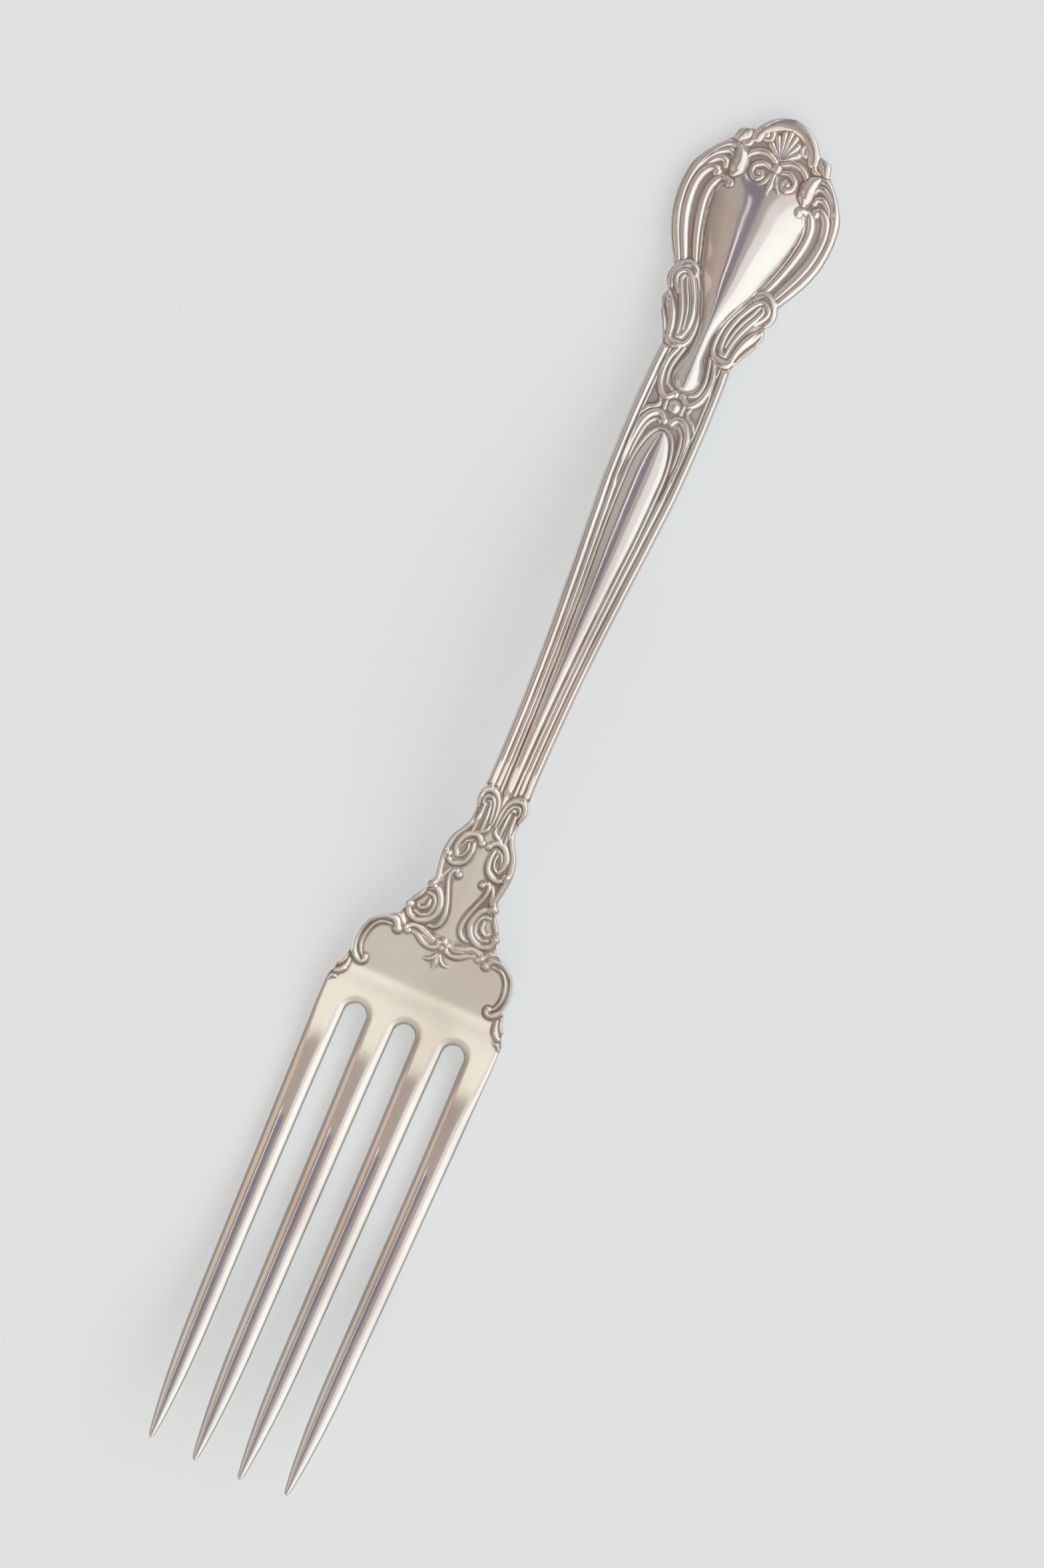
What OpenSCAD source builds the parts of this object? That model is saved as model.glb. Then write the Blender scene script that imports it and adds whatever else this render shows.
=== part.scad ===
// Table fork with four tines, a scrolled neck and a reeded handle that ends in a crested cartouche.
// +Y runs from the tine tips to the end of the handle, +X to the right and +Z up.
// The origin lies under the middle of the fork, on the surface that it rests on.

/* [Lengths along the fork] */
// Tines, from the tips to the roots between the slots
tine_length = 48.4; // [44:0.2:56]
// Palm, from the roots of the tines to the top of the shoulders
palm_length = 11.6; // [10.5:0.1:14]
// Neck, from the shoulders to the collar
neck_length = 13.3; // [12:0.1:16]
// Collar at the foot of the stem
collar_length = 3; // [2.6:0.1:4]
// Reeded stem
stem_length = 41.2; // [34:0.2:56]
// Knot of scrolls between the stem and the cartouche
knot_length = 4.3; // [4:0.1:6]
// Cartouche between its two leaves
cartouche_length = 23.2; // [21:0.1:28]
// Crest over the cartouche
crest_length = 8; // [7:0.1:10]
// How far the outer tines stop short of the inner ones
tip_setback = 0.4; // [0:0.1:2]

/* [Widths] */
// Across the roots of the outer tines
head_width = 20; // [18:0.1:24]
// Between the middles of the outer tips
tip_spread = 15.2; // [13:0.1:18]
// One tine at its root
tine_root_width = 3.25; // [2.6:0.05:3.6]
// One tine where the point begins
tine_point_width = 2.5; // [2:0.05:2.8]
// One tine at the tip
tine_tip_width = 0.6; // [0.4:0.05:1]
// Length of the pointed end of a tine
tine_point_length = 12; // [8:0.5:16]
// Length over which the crown of a tine sinks into the palm
crown_run = 9; // [6:0.5:14]
// Across the notches under the shoulders
notch_width = 17.6; // [15.5:0.1:20]
// Across the round shoulders
shoulder_width = 17.8; // [16:0.1:21]
// Across the foot of the neck, where the shoulders end
neck_foot_width = 12.4; // [10.5:0.1:14]
// Across the neck below its swelling
neck_waist_width = 7.3; // [6.4:0.1:8.4]
// Across the swelling of the neck
neck_swell_width = 8.1; // [7:0.1:9.5]
// Across the collar
collar_width = 4.9; // [4.4:0.1:6]
// Across the stem where it is slimmest
stem_width = 4.85; // [4.4:0.05:6]
// Across the top of the stem
stem_top_width = 8.3; // [7.4:0.1:10]
// Across the waist below the leaves
waist_width = 8; // [7:0.1:9.5]
// Across the two leaves
leaf_width = 12; // [10.5:0.1:14]
// Across the cartouche
cartouche_width = 17.6; // [15.5:0.1:21]
// Across the hood of the crest
hood_width = 8; // [6.5:0.1:10]

/* [Thickness] */
// Tines at the tip
tip_thickness = 1; // [0.8:0.05:1.6]
// Tines at the root
root_thickness = 2.1; // [1.6:0.05:3]
// Middle of the palm
palm_thickness = 1.9; // [1.5:0.05:2.6]
// Neck at its swelling
neck_thickness = 2.4; // [2:0.05:3.2]
// Slim part of the stem
stem_thickness = 3.1; // [2.6:0.05:4]
// Top of the stem
stem_top_thickness = 2.8; // [2.2:0.05:3.6]
// Rim of the cartouche
cartouche_thickness = 2.2; // [1.8:0.05:3]
// End of the crest
end_thickness = 1.9; // [1.4:0.05:2.6]

/* [Side view] */
// Radius of the upward curve of the tines
tine_bend = 82; // [60:1:120]
// Rise of the underside at the top of the arch
arch_height = 9.5; // [6:0.1:13]
// From the roots of the tines back to the heel that the fork rests on
heel_offset = 8.4; // [5:0.1:14]
// From the collar to the top of the arch
arch_offset = 9; // [2:0.5:16]
// Radius of the lift behind the rest of the handle
end_bend = 60; // [40:1:100]
// Wear that flattens the two places it rests on
rest_wear = 0.08; // [0.04:0.01:0.15]

/* [Relief] */
// Rim along the edges of the neck and the collar
neck_rim_width = 0.75; // [0.6:0.05:0.95]
// Drop from the top of that rim to the edge
edge_drop = 0.45; // [0.3:0.05:0.6]
// Rim along the edges of the stem
rim_width = 0.95; // [0.8:0.05:1.2]
// Reed inside the rim
reed_width = 0.75; // [0.55:0.05:1]
// Groove between the reed and the panel
panel_gap = 0.16; // [0.1:0.02:0.3]
// Depth of the grooves
groove_depth = 0.42; // [0.25:0.01:0.55]
// Rise of the panel between the reeds
panel_rise = 0.22; // [0.1:0.01:0.4]
// Rise of the smooth field of the cartouche
field_rise = 0.75; // [0.3:0.05:1.1]
// Depth of the ground under the scrolls
ground_depth = 0.34; // [0.2:0.01:0.5]
// Radius of the heavy scrolls
scroll_radius = 0.36; // [0.26:0.01:0.5]
// Radius of the light scrolls
strand_radius = 0.24; // [0.18:0.01:0.32]
// Radius of the beads that end the scrolls
bead_radius = 0.46; // [0.34:0.01:0.6]

/* [Hidden] */
s_root = tine_length;
s_neck = s_root + palm_length;
s_collar = s_neck + neck_length;
s_stem = s_collar + collar_length;
s_knot = s_stem + stem_length;
s_cartouche = s_knot + knot_length;
s_crest = s_cartouche + cartouche_length;
fork_length = s_crest + crest_length;
s_heel = s_root - heel_offset;
s_arch = s_stem + arch_offset;
s_rest = s_crest;
tine_pitch = (head_width - tine_root_width) / 3;
tip_pitch = tip_spread / 3;
slot_radius = (tine_pitch - tine_root_width) / 2;

// Smooth curve through knots [place, value] that does not overshoot
function secant(k, i) = (k[i + 1][1] - k[i][1]) / (k[i + 1][0] - k[i][0]);
function slope(k, i) =
    i == 0 ? secant(k, 0)
    : i == len(k) - 1 ? secant(k, i - 1)
    : let (a = secant(k, i - 1), b = secant(k, i)) a * b <= 0 ? 0 : 2 * a * b / (a + b);
function span(k, t, i = 0) = i >= len(k) - 2 || t < k[i + 1][0] ? i : span(k, t, i + 1);
function curve(k, t) =
    let (i = span(k, t), h = k[i + 1][0] - k[i][0], u = (t - k[i][0]) / h)
    let (m0 = slope(k, i) * h, m1 = slope(k, i + 1) * h)
    k[i][1] + u * m0 + u * u * (3 * (k[i + 1][1] - k[i][1]) - 2 * m0 - m1)
    + u * u * u * (2 * (k[i][1] - k[i + 1][1]) + m0 + m1);
function ease(a, b, t) = let (u = max(0, min(1, (t - a) / (b - a)))) u * u * (3 - 2 * u);
function mix(a, b, t) = a + (b - a) * t;

// Height of the underside along the fork
function bend(s) =
    s < s_heel ? (s_heel - s) ^ 2 / (2 * tine_bend)
    : s < s_arch ? arch_height * (1 - cos(180 * (s - s_heel) / (s_arch - s_heel))) / 2
    : s < s_rest ? arch_height * (1 + cos(180 * (s - s_arch) / (s_rest - s_arch))) / 2
    : (s - s_rest) ^ 2 / (2 * end_bend);
function under(s) = max(0, bend(s) - rest_wear);

thickness_knots = [
    [0, tip_thickness],
    [tine_point_length, mix(tip_thickness, root_thickness, 0.6)],
    [s_root, root_thickness],
    [s_root + palm_length * 0.55, palm_thickness],
    [s_neck + neck_length * 0.6, neck_thickness],
    [s_stem + stem_length * 0.1, stem_thickness],
    [s_knot, stem_top_thickness],
    [s_crest, cartouche_thickness],
    [fork_length, end_thickness]
];
function face(s) = under(s) + curve(thickness_knots, s);

outline_knots = [
    [s_root, head_width / 2],
    [s_root + palm_length * 0.22, mix(notch_width, head_width, 0.96) / 2],
    [s_root + palm_length * 0.46, notch_width / 2],
    [s_root + palm_length * 0.68, shoulder_width / 2],
    [s_root + palm_length * 0.88, mix(neck_foot_width, shoulder_width, 0.75) / 2],
    [s_neck, neck_foot_width / 2],
    [s_neck + neck_length * 0.13, mix(neck_waist_width, neck_foot_width, 0.38) / 2],
    [s_neck + neck_length * 0.36, neck_waist_width / 2],
    [s_neck + neck_length * 0.6, neck_swell_width / 2],
    [s_neck + neck_length * 0.76, mix(collar_width, neck_swell_width, 0.8) / 2],
    [s_neck + neck_length * 0.92, mix(collar_width, neck_swell_width, 0.06) / 2],
    [s_collar, collar_width / 2],
    [s_stem, collar_width / 2],
    [s_stem + stem_length * 0.06, stem_width / 2],
    [s_stem + stem_length * 0.22, mix(stem_width, stem_top_width, 0.06) / 2],
    [s_stem + stem_length * 0.55, mix(stem_width, stem_top_width, 0.45) / 2],
    [s_stem + stem_length * 0.88, mix(stem_width, stem_top_width, 0.97) / 2],
    [s_knot, stem_top_width / 2],
    [s_cartouche, mix(stem_top_width, waist_width, 0.6) / 2],
    [s_cartouche + cartouche_length * 0.15, waist_width / 2],
    [s_cartouche + cartouche_length * 0.24, mix(waist_width, leaf_width, 0.25) / 2],
    [s_cartouche + cartouche_length * 0.4, mix(waist_width, leaf_width, 0.75) / 2],
    [s_cartouche + cartouche_length * 0.56, mix(leaf_width, cartouche_width, 0.25) / 2],
    [s_cartouche + cartouche_length * 0.7, mix(leaf_width, cartouche_width, 0.8) / 2],
    [s_cartouche + cartouche_length * 0.89, cartouche_width / 2],
    [s_crest, mix(hood_width, cartouche_width, 0.94) / 2],
    [s_crest + crest_length * 0.2, mix(hood_width, cartouche_width, 0.8) / 2],
    [s_crest + crest_length * 0.4, mix(hood_width, cartouche_width, 0.55) / 2],
    [s_crest + crest_length * 0.62, hood_width / 2],
    [fork_length, hood_width * 0.04]
];
function hood_arc(s) = hood_width / 2 * sqrt(max(0.006, 1 - ((s - fork_length) / (hood_width / 2) + 1) ^ 2));
s_hood = s_crest + crest_length * 0.62;
function half_width(s) =
    s < fork_length - hood_width / 2 ? curve(outline_knots, s)
    : s < s_hood ? max(hood_arc(s), curve(outline_knots, s))
    : hood_arc(s);

field_knots = [
    [s_cartouche, waist_width * 0.11],
    [s_cartouche + cartouche_length * 0.07, waist_width * 0.2],
    [s_cartouche + cartouche_length * 0.27, waist_width * 0.095],
    [s_cartouche + cartouche_length * 0.4, cartouche_width * 0.09],
    [s_cartouche + cartouche_length * 0.62, cartouche_width * 0.23],
    [s_cartouche + cartouche_length * 0.85, cartouche_width * 0.29],
    [s_crest, cartouche_width * 0.25],
    [s_crest + crest_length * 0.35, hood_width * 0.075],
    [fork_length, hood_width * 0.0125]
];

// Solid between rows of points on its upper face and rows on its lower face, both from left to right
module slab(tops, bottoms) {
    rows = len(tops);
    nt = len(tops[0]);
    nb = len(bottoms[0]);
    m = nt + nb;
    last = rows - 1;
    function t(i, j) = i * m + j;
    function b(i, j) = i * m + nt + j;
    function under_top(j) = round(j * (nb - 1) / (nt - 1));
    function end_cap(i) = [
        for (j = [0 : nt - 2])
        each concat(
            [[b(i, under_top(j)), t(i, j), t(i, j + 1)]],
            [for (k = [under_top(j) : 1 : under_top(j + 1) - 1]) [b(i, k), t(i, j + 1), b(i, k + 1)]])];
    polyhedron(
        [for (i = [0 : last]) each concat(tops[i], bottoms[i])],
        concat(
            [for (i = [0 : last - 1]) for (j = [0 : nt - 2])
                each [[t(i, j), t(i + 1, j), t(i + 1, j + 1)], [t(i, j), t(i + 1, j + 1), t(i, j + 1)]]],
            [for (i = [0 : last - 1]) for (j = [0 : nb - 2])
                each [[b(i, j), b(i + 1, j + 1), b(i + 1, j)], [b(i, j), b(i, j + 1), b(i + 1, j + 1)]]],
            [for (i = [0 : last - 1])
                each [[b(i + 1, 0), t(i + 1, 0), t(i, 0)], [b(i + 1, 0), t(i, 0), b(i, 0)]]],
            [for (i = [0 : last - 1])
                each [[b(i, nb - 1), t(i, nt - 1), t(i + 1, nt - 1)],
                      [b(i, nb - 1), t(i + 1, nt - 1), b(i + 1, nb - 1)]]],
            end_cap(0),
            [for (f = end_cap(last)) [f[0], f[2], f[1]]]));
}

function at(x, s, z) = [x, s - fork_length / 2, z];
function both_sides(half) = concat([for (i = [len(half) - 1 : -1 : 1]) [-half[i][0], half[i][1]]], half);
function top_row(half, s) = [for (p = both_sides(half)) at(p[0], s, face(s) + p[1])];

// Flat back with rounded corners up to the edge
back_share = [[-1, 0.34], [-0.86, 0.1], [-0.6, 0], [0.6, 0], [0.86, 0.1], [1, 0.34]];
function back_row(s) =
    [for (p = back_share) at(p[0] * half_width(s), s, under(s) + p[1] * (face(s) - under(s)))];
function stations(a, b, n) = [for (i = [0 : n]) a + (b - a) * i / n];

// Tines
tine_shape = [[-1, 0.5], [-0.88, 0.76], [-0.5, 0.95], [0, 1], [0.5, 0.95], [0.88, 0.76], [1, 0.5]];
tine_back = [[-1, 0.32], [-0.86, 0.1], [-0.55, 0], [0.55, 0], [0.86, 0.1], [1, 0.32]];
tine_knots = [
    [0, tine_tip_width / 2],
    [tine_point_length * 0.08, mix(tine_tip_width, tine_point_width, 0.2) / 2],
    [tine_point_length * 0.33, mix(tine_tip_width, tine_point_width, 0.55) / 2],
    [tine_point_length * 0.66, mix(tine_tip_width, tine_point_width, 0.86) / 2],
    [tine_point_length, tine_point_width / 2],
    [s_root, tine_root_width / 2]
];
tine_stations = [0, 0.015, 0.04, 0.08, 0.14, 0.21, 0.3, 0.41, 0.52, 0.62, 0.7, 0.775, 0.87, 0.93, 1];
function tine_middle(k, s) = k * mix(tip_pitch, tine_pitch, ease(-s_root, s_root, s) * 2 - 1);
function flatten(s) = mix(1, 0.45, ease(s_root - crown_run, s_root, s));
module tine(k) {
    start = abs(k) > 1 ? tip_setback : 0;
    rows = [for (f = tine_stations) start + f * (s_root - start)];
    slab(
        [for (s = rows) [for (p = tine_shape)
            at(tine_middle(k, s) + p[0] * curve(tine_knots, s - start * (1 - s / s_root)), s,
                mix(face(s), under(s), (1 - p[1]) * flatten(s)))]],
        [for (s = rows) [for (p = tine_back)
            at(tine_middle(k, s) + p[0] * curve(tine_knots, s - start * (1 - s / s_root)), s,
                mix(under(s), face(s), p[1]))]]);
}

// Palm, whose lower edge follows the round ends of the slots
tine_columns = [-1, -0.75, 0, 0.75, 1];
slot_angles = [140, 90, 40];
head_columns = [for (k = [-1.5 : 1 : 1.5])
    each concat(
        [for (c = tine_columns) [k * tine_pitch + c * tine_root_width / 2, 0, abs(c) == 1 ? 1 : 0]],
        k > 1 ? [] : [for (a = slot_angles)
            [(k + 0.5) * tine_pitch + slot_radius * cos(a), slot_radius * sin(a), 1]])];
head_rows = [0, 0.07, 0.2, 0.34, 0.46, 0.57, 0.68, 0.8, 0.9, 1];
function head_s(v, c) = s_root + c[1] + v * (palm_length - c[1]);
function head_x(v, c) = c[0] * half_width(head_s(v, c)) / (head_width / 2);
function brim(c) = abs(c[0]) > head_width * 0.499 ? 1 : 0;
function head_drop(v, c) = max(brim(c) * 0.45, c[2] * 0.5 * (1 - ease(0, 0.12, v))) * 0.5;
module palm() {
    slab(
        [for (v = head_rows) [for (c = head_columns) let (s = head_s(v, c))
            at(head_x(v, c), s, mix(face(s), under(s), head_drop(v, c)))]],
        [for (v = head_rows) [for (c = head_columns) let (s = head_s(v, c))
            at(head_x(v, c), s, mix(under(s), face(s), head_drop(v, c)))]]);
}

// Scrolls are drawn on a zone [start, length, width] as shares of its half width and of its length
head_zone = [s_root, palm_length, head_width];
neck_zone = [s_neck, neck_length, neck_swell_width];
collar_zone = [s_collar, collar_length, collar_width];
knot_zone = [s_knot, knot_length, stem_top_width];
cartouche_zone = [s_cartouche, cartouche_length, cartouche_width];
crest_zone = [s_crest, crest_length, hood_width];
brow_zone = [s_crest, crest_length, cartouche_width];
function spot(zone, p) = [p[0] * zone[2] / 2, zone[0] + p[1] * zone[1]];

// Smooth path through a few points
function corner(q, i) = q[max(0, min(len(q) - 1, i))];
function through(q, steps = 2) = [
    for (i = [0 : len(q) - 2]) for (j = [0 : (i == len(q) - 2 ? steps : steps - 1)])
    let (u = j / steps, a = corner(q, i - 1), b = q[i], c = q[i + 1], d = corner(q, i + 2))
    (2 * b + (c - a) * u + (2 * a - 5 * b + 4 * c - d) * u * u + (3 * b - a - 3 * c + d) * u * u * u) / 2];

// Round strand along a path, tapered to both ends
sides = 5;
reed_radius = strand_radius * 0.8;
module strand(path, radius, level) {
    n = len(path) - 1;
    function along(i) = let (d = path[min(n, i + 1)] - path[max(0, i - 1)]) d / norm(d);
    function thick(i) = radius * mix(0.55, 1, sin(180 * mix(0.12, 0.88, i / n)));
    polyhedron(
        [for (i = [0 : n]) for (k = [0 : sides - 1])
            let (d = along(i), r = thick(i), a = 90 + 360 * k / sides, c = r * cos(a))
            at(path[i][0] - d[1] * c, path[i][1] + d[0] * c, face(path[i][1]) + level + r * sin(a))],
        concat(
            [for (i = [0 : n - 1]) for (k = [0 : sides - 1]) let (l = (k + 1) % sides)
                each [[i * sides + k, (i + 1) * sides + l, i * sides + l],
                      [i * sides + k, (i + 1) * sides + k, (i + 1) * sides + l]]],
            [for (k = [1 : sides - 2]) [0, k, k + 1]],
            [for (k = [1 : sides - 2]) [n * sides, n * sides + k + 1, n * sides + k]]));
}

// Scrolls, beads and lobes are drawn on both sides of the fork
module scroll(zone, points, radius, level) {
    path = through([for (p = points) spot(zone, p)]);
    for (side = [-1, 1])
        strand([for (p = path) [side * p[0], p[1]]], radius, level);
}
facets = 6;
module bead(zone, p, radius, level) {
    q = spot(zone, p);
    for (side = [-1, 1])
        hull()
            translate(at(side * q[0], q[1], face(q[1]) + level))
                sphere(radius, $fn = facets);
}
// Drop-shaped leaf lobe from a broad end to a narrow one
module lobe(zone, p, q, r_broad, r_narrow, level) {
    a = spot(zone, p);
    b = spot(zone, q);
    for (side = [-1, 1])
        hull() {
            translate(at(side * a[0], a[1], face(a[1]) + level))
                sphere(r_broad, $fn = facets);
            translate(at(side * b[0], b[1], face(b[1]) + level))
                sphere(r_narrow, $fn = facets);
        }
}
// Cuts a zone to its own stretch of the fork
module between(a, b) {
    intersection() {
        children();
        translate([-head_width, a - fork_length / 2, -arch_height])
            cube([head_width * 2, b - a, arch_height * 4]);
    }
}

// Neck, collar, stem and knot share a rim; the ground inside it is sunk for the scrolls
function neck_half(s) =
    let (w = half_width(s), g = -ground_depth * mix(0.25, 1, ease(s_neck, s_neck + neck_length * 0.1, s)))
    [[0, g * 0.3], [w * 0.12, g * 0.5], [w * 0.4, g], [w - neck_rim_width, g],
     [w - neck_rim_width * 0.67, -edge_drop * 0.13], [w - neck_rim_width * 0.4, 0],
     [w - neck_rim_width * 0.16, -edge_drop * 0.18], [w, -edge_drop]];
function panel_half(s) =
    let (p = half_width(s) - rim_width - reed_width - panel_gap)
    let (u = (s - s_knot + stem_length * 0.2) / (stem_length * 0.2))
    u > 0 ? p * sqrt(max(0.002, 1 - u * u)) : p;
function stem_half(s) =
    let (w = half_width(s), d = groove_depth, p = panel_half(s), k = min(1, p / (panel_gap * 3)))
    let (rise = (panel_rise + 0.07 * p) * k)
    [[0, mix(-d, rise, k)], [p * 0.4, mix(-d, rise * 0.85, k)], [p * 0.75, mix(-d, rise * 0.3, k)],
     [p, mix(-d, -d * 0.3, k)], [p + panel_gap / 2, -d], [w - rim_width - reed_width, -d],
     [w - rim_width - reed_width * 0.78, -d * 0.4], [w - rim_width - reed_width * 0.5, -d * 0.15],
     [w - rim_width - reed_width * 0.22, -d * 0.4], [w - rim_width, -d], [w - rim_width * 0.78, -d * 0.3],
     [w - rim_width * 0.52, 0], [w - rim_width * 0.22, -d * 0.25], [w, -d * 1.3]];

// Cartouche and crest: a smooth field, then a band whose relief changes from rim to leaf to ridges to ground
band_share = [0.05, 0.13, 0.22, 0.34, 0.48, 0.63, 0.74, 0.84, 0.93, 1];
rim_relief = [-0.9, -1, -0.9, -0.3, -0.9, -0.5, -1, -0.1, -0.15, -1.3];
leaf_relief = [-0.8, -0.9, -0.6, -0.4, -0.3, -0.3, -0.4, -0.5, -0.8, -1.5];
ridge_relief = [0.15, -0.35, 0.25, -0.75, -0.85, 0, -0.75, -0.1, -0.9, -2.1];
crest_relief = [-0.7, -0.7, -0.7, -0.7, -0.7, -0.7, -0.7, -0.7, -0.9, -1.9];
function band(s, i) =
    let (rim = 1 - ease(s_cartouche, s_cartouche + cartouche_length * 0.2, s))
    let (ridge = ease(s_cartouche + cartouche_length * 0.5, s_cartouche + cartouche_length * 0.66, s))
    let (top = ease(s_crest + crest_length * 0.1, s_crest + crest_length * 0.5, s))
    let (side = mix(mix(leaf_relief[i], rim_relief[i], rim), ridge_relief[i], ridge))
    groove_depth * mix(side, crest_relief[i], top);
function field_height(s) =
    let (start = ease(s_cartouche + cartouche_length * 0.25, s_cartouche + cartouche_length * 0.6, s))
    let (end = ease(s_crest - crest_length * 0.15, s_crest + crest_length * 0.3, s))
    field_rise * mix(0.25, 1, start) * (1 - end);
function field_half(s) = min(curve(field_knots, s), half_width(s) * 0.7);
function cartouche_half(s) =
    let (w = half_width(s), f = field_half(s), h = field_height(s), d = groove_depth, g = f + d * 0.12)
    let (top = ease(s_crest, s_crest + crest_length * 0.4, s), low = -d * mix(0.6, 0.7, top))
    let (e = d * 0.4 * (1 - top))
    concat(
        [[0, low + h + e], [f * 0.3, low + h * 0.93 + e], [f * 0.6, low + h * 0.7 + e * 0.9],
         [f * 0.85, low + h * 0.35 + e * 0.5], [f, low]],
        [for (i = [0 : len(band_share) - 1]) [g + band_share[i] * (w - g), band(s, i)]]);

module tine_outer_left() {
    color("silver") tine(-1.5);
}
module tine_inner_left() {
    color("silver") tine(-0.5);
}
module tine_inner_right() {
    color("silver") tine(0.5);
}
module tine_outer_right() {
    color("silver") tine(1.5);
}

// Palm with a C-scroll on each shoulder and a bud at each notch
module head() {
    color("silver") between(s_root, s_neck) {
        palm();
        scroll(head_zone,
            [[0.52, 0.9], [0.6, 0.96], [0.73, 0.91], [0.83, 0.8], [0.855, 0.67], [0.81, 0.55], [0.7, 0.52]],
            scroll_radius, -scroll_radius * 0.17);
        scroll(head_zone, [[0.06, 0.9], [0.1, 0.85], [0.2, 0.86], [0.3, 0.92], [0.38, 0.97], [0.44, 0.93]],
            strand_radius, -strand_radius * 0.2);
        bead(head_zone, [0.51, 0.89], bead_radius, -bead_radius * 0.2);
        bead(head_zone, [0.7, 0.53], bead_radius, -bead_radius * 0.2);
        bead(head_zone, [0.43, 0.93], bead_radius * 0.8, -bead_radius * 0.2);
        lobe(head_zone, [0.87, 0.35], [0.845, 0.47], scroll_radius * 1.3, strand_radius, -scroll_radius);
        lobe(head_zone, [0.93, 0.3], [0.95, 0.2], scroll_radius, reed_radius, -scroll_radius * 1.1);
    }
}

// Neck with two pairs of scrolls round a smooth keel
module neck() {
    color("silver") between(s_neck, s_collar) {
        rows = stations(s_neck, s_collar, 11);
        slab([for (s = rows) top_row(neck_half(s), s)], [for (s = rows) back_row(s)]);
        scroll(neck_zone,
            [[0.85, 0.3], [0.64, 0.295], [0.49, 0.235], [0.45, 0.15], [0.57, 0.07], [0.84, 0.035],
             [1.19, 0.1]], scroll_radius, -ground_depth);
        scroll(neck_zone,
            [[0.34, 0.48], [0.5, 0.455], [0.52, 0.39], [0.41, 0.3], [0.27, 0.19], [0.22, 0.09], [0.32, 0.03]],
            scroll_radius * 0.85, -ground_depth);
        scroll(neck_zone, [[0.12, 0.77], [0.32, 0.825], [0.57, 0.775], [0.67, 0.7], [0.63, 0.645]],
            scroll_radius * 0.85, -ground_depth);
        scroll(neck_zone, [[0.31, 0.735], [0.37, 0.625], [0.56, 0.56], [0.75, 0.555], [0.8, 0.6]],
            scroll_radius * 0.85, -ground_depth);
        bead(neck_zone, [0.88, 0.315], bead_radius * 1.1, -ground_depth);
        bead(neck_zone, [1.2, 0.11], bead_radius, -ground_depth);
        bead(neck_zone, [0.34, 0.475], bead_radius * 0.8, -ground_depth);
        bead(neck_zone, [0.12, 0.775], bead_radius * 0.8, -ground_depth);
        bead(neck_zone, [0.8, 0.6], bead_radius * 0.8, -ground_depth);
        for (x = [0.27, 0.45])
            lobe(neck_zone, [x, 0.86], [x, 0.98], reed_radius, reed_radius, -ground_depth * 0.6);
    }
}

// Collar with a knuckle on each side
module collar() {
    color("silver") between(s_collar, s_stem) {
        rows = stations(s_collar, s_stem, 3);
        slab([for (s = rows) top_row(neck_half(s), s)], [for (s = rows) back_row(s)]);
        scroll(collar_zone, [[0.13, 0], [0.17, 0.3], [0.33, 0.55], [0.6, 0.7], [0.9, 0.72]],
            scroll_radius * 0.85, -ground_depth * 0.5);
        lobe(collar_zone, [0.92, 0.55], [0.94, 0.74], bead_radius * 1.1, bead_radius, -ground_depth);
        for (x = [0.45, 0.75])
            lobe(collar_zone, [x, 0.05], [x, 0.25], reed_radius, reed_radius, -ground_depth * 0.6);
        lobe(collar_zone, [0.45, 0.88], [0.2, 0.93], strand_radius, reed_radius, -ground_depth * 0.6);
    }
}

// Stem with a rim and a reed on each side of a long arched panel
stem_stations = concat(stations(s_stem, s_knot - stem_length * 0.2, 10),
    [for (a = [15 : 15 : 90]) s_knot - stem_length * 0.2 * (1 - sin(a))]);
module stem() {
    color("silver")
        slab([for (s = stem_stations) top_row(stem_half(s), s)], [for (s = stem_stations) back_row(s)]);
}

// Knot of two pairs of scrolls about a bead
module knot() {
    color("silver") between(s_knot, s_cartouche) {
        rows = stations(s_knot, s_cartouche, 3);
        slab([for (s = rows) top_row(stem_half(s), s)], [for (s = rows) back_row(s)]);
        scroll(knot_zone, [[0.68, 0.02], [0.55, 0.22], [0.34, 0.32], [0.13, 0.2]],
            scroll_radius, -groove_depth);
        scroll(knot_zone, [[0.62, 0.98], [0.54, 0.86], [0.36, 0.74], [0.14, 0.86]],
            scroll_radius, -groove_depth);
        bead(knot_zone, [0.13, 0.18], bead_radius * 0.9, -groove_depth);
        bead(knot_zone, [0.14, 0.85], bead_radius * 0.9, -groove_depth);
        lobe(knot_zone, [0, 0.54], [0, 0.58], bead_radius * 1.25, bead_radius * 1.1, -groove_depth);
        lobe(knot_zone, [0.26, 0.5], [0.26, 0.6], strand_radius, strand_radius, -groove_depth);
        lobe(knot_zone, [0.46, 0.52], [0.66, 0.38], strand_radius, reed_radius, -groove_depth);
    }
}

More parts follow.
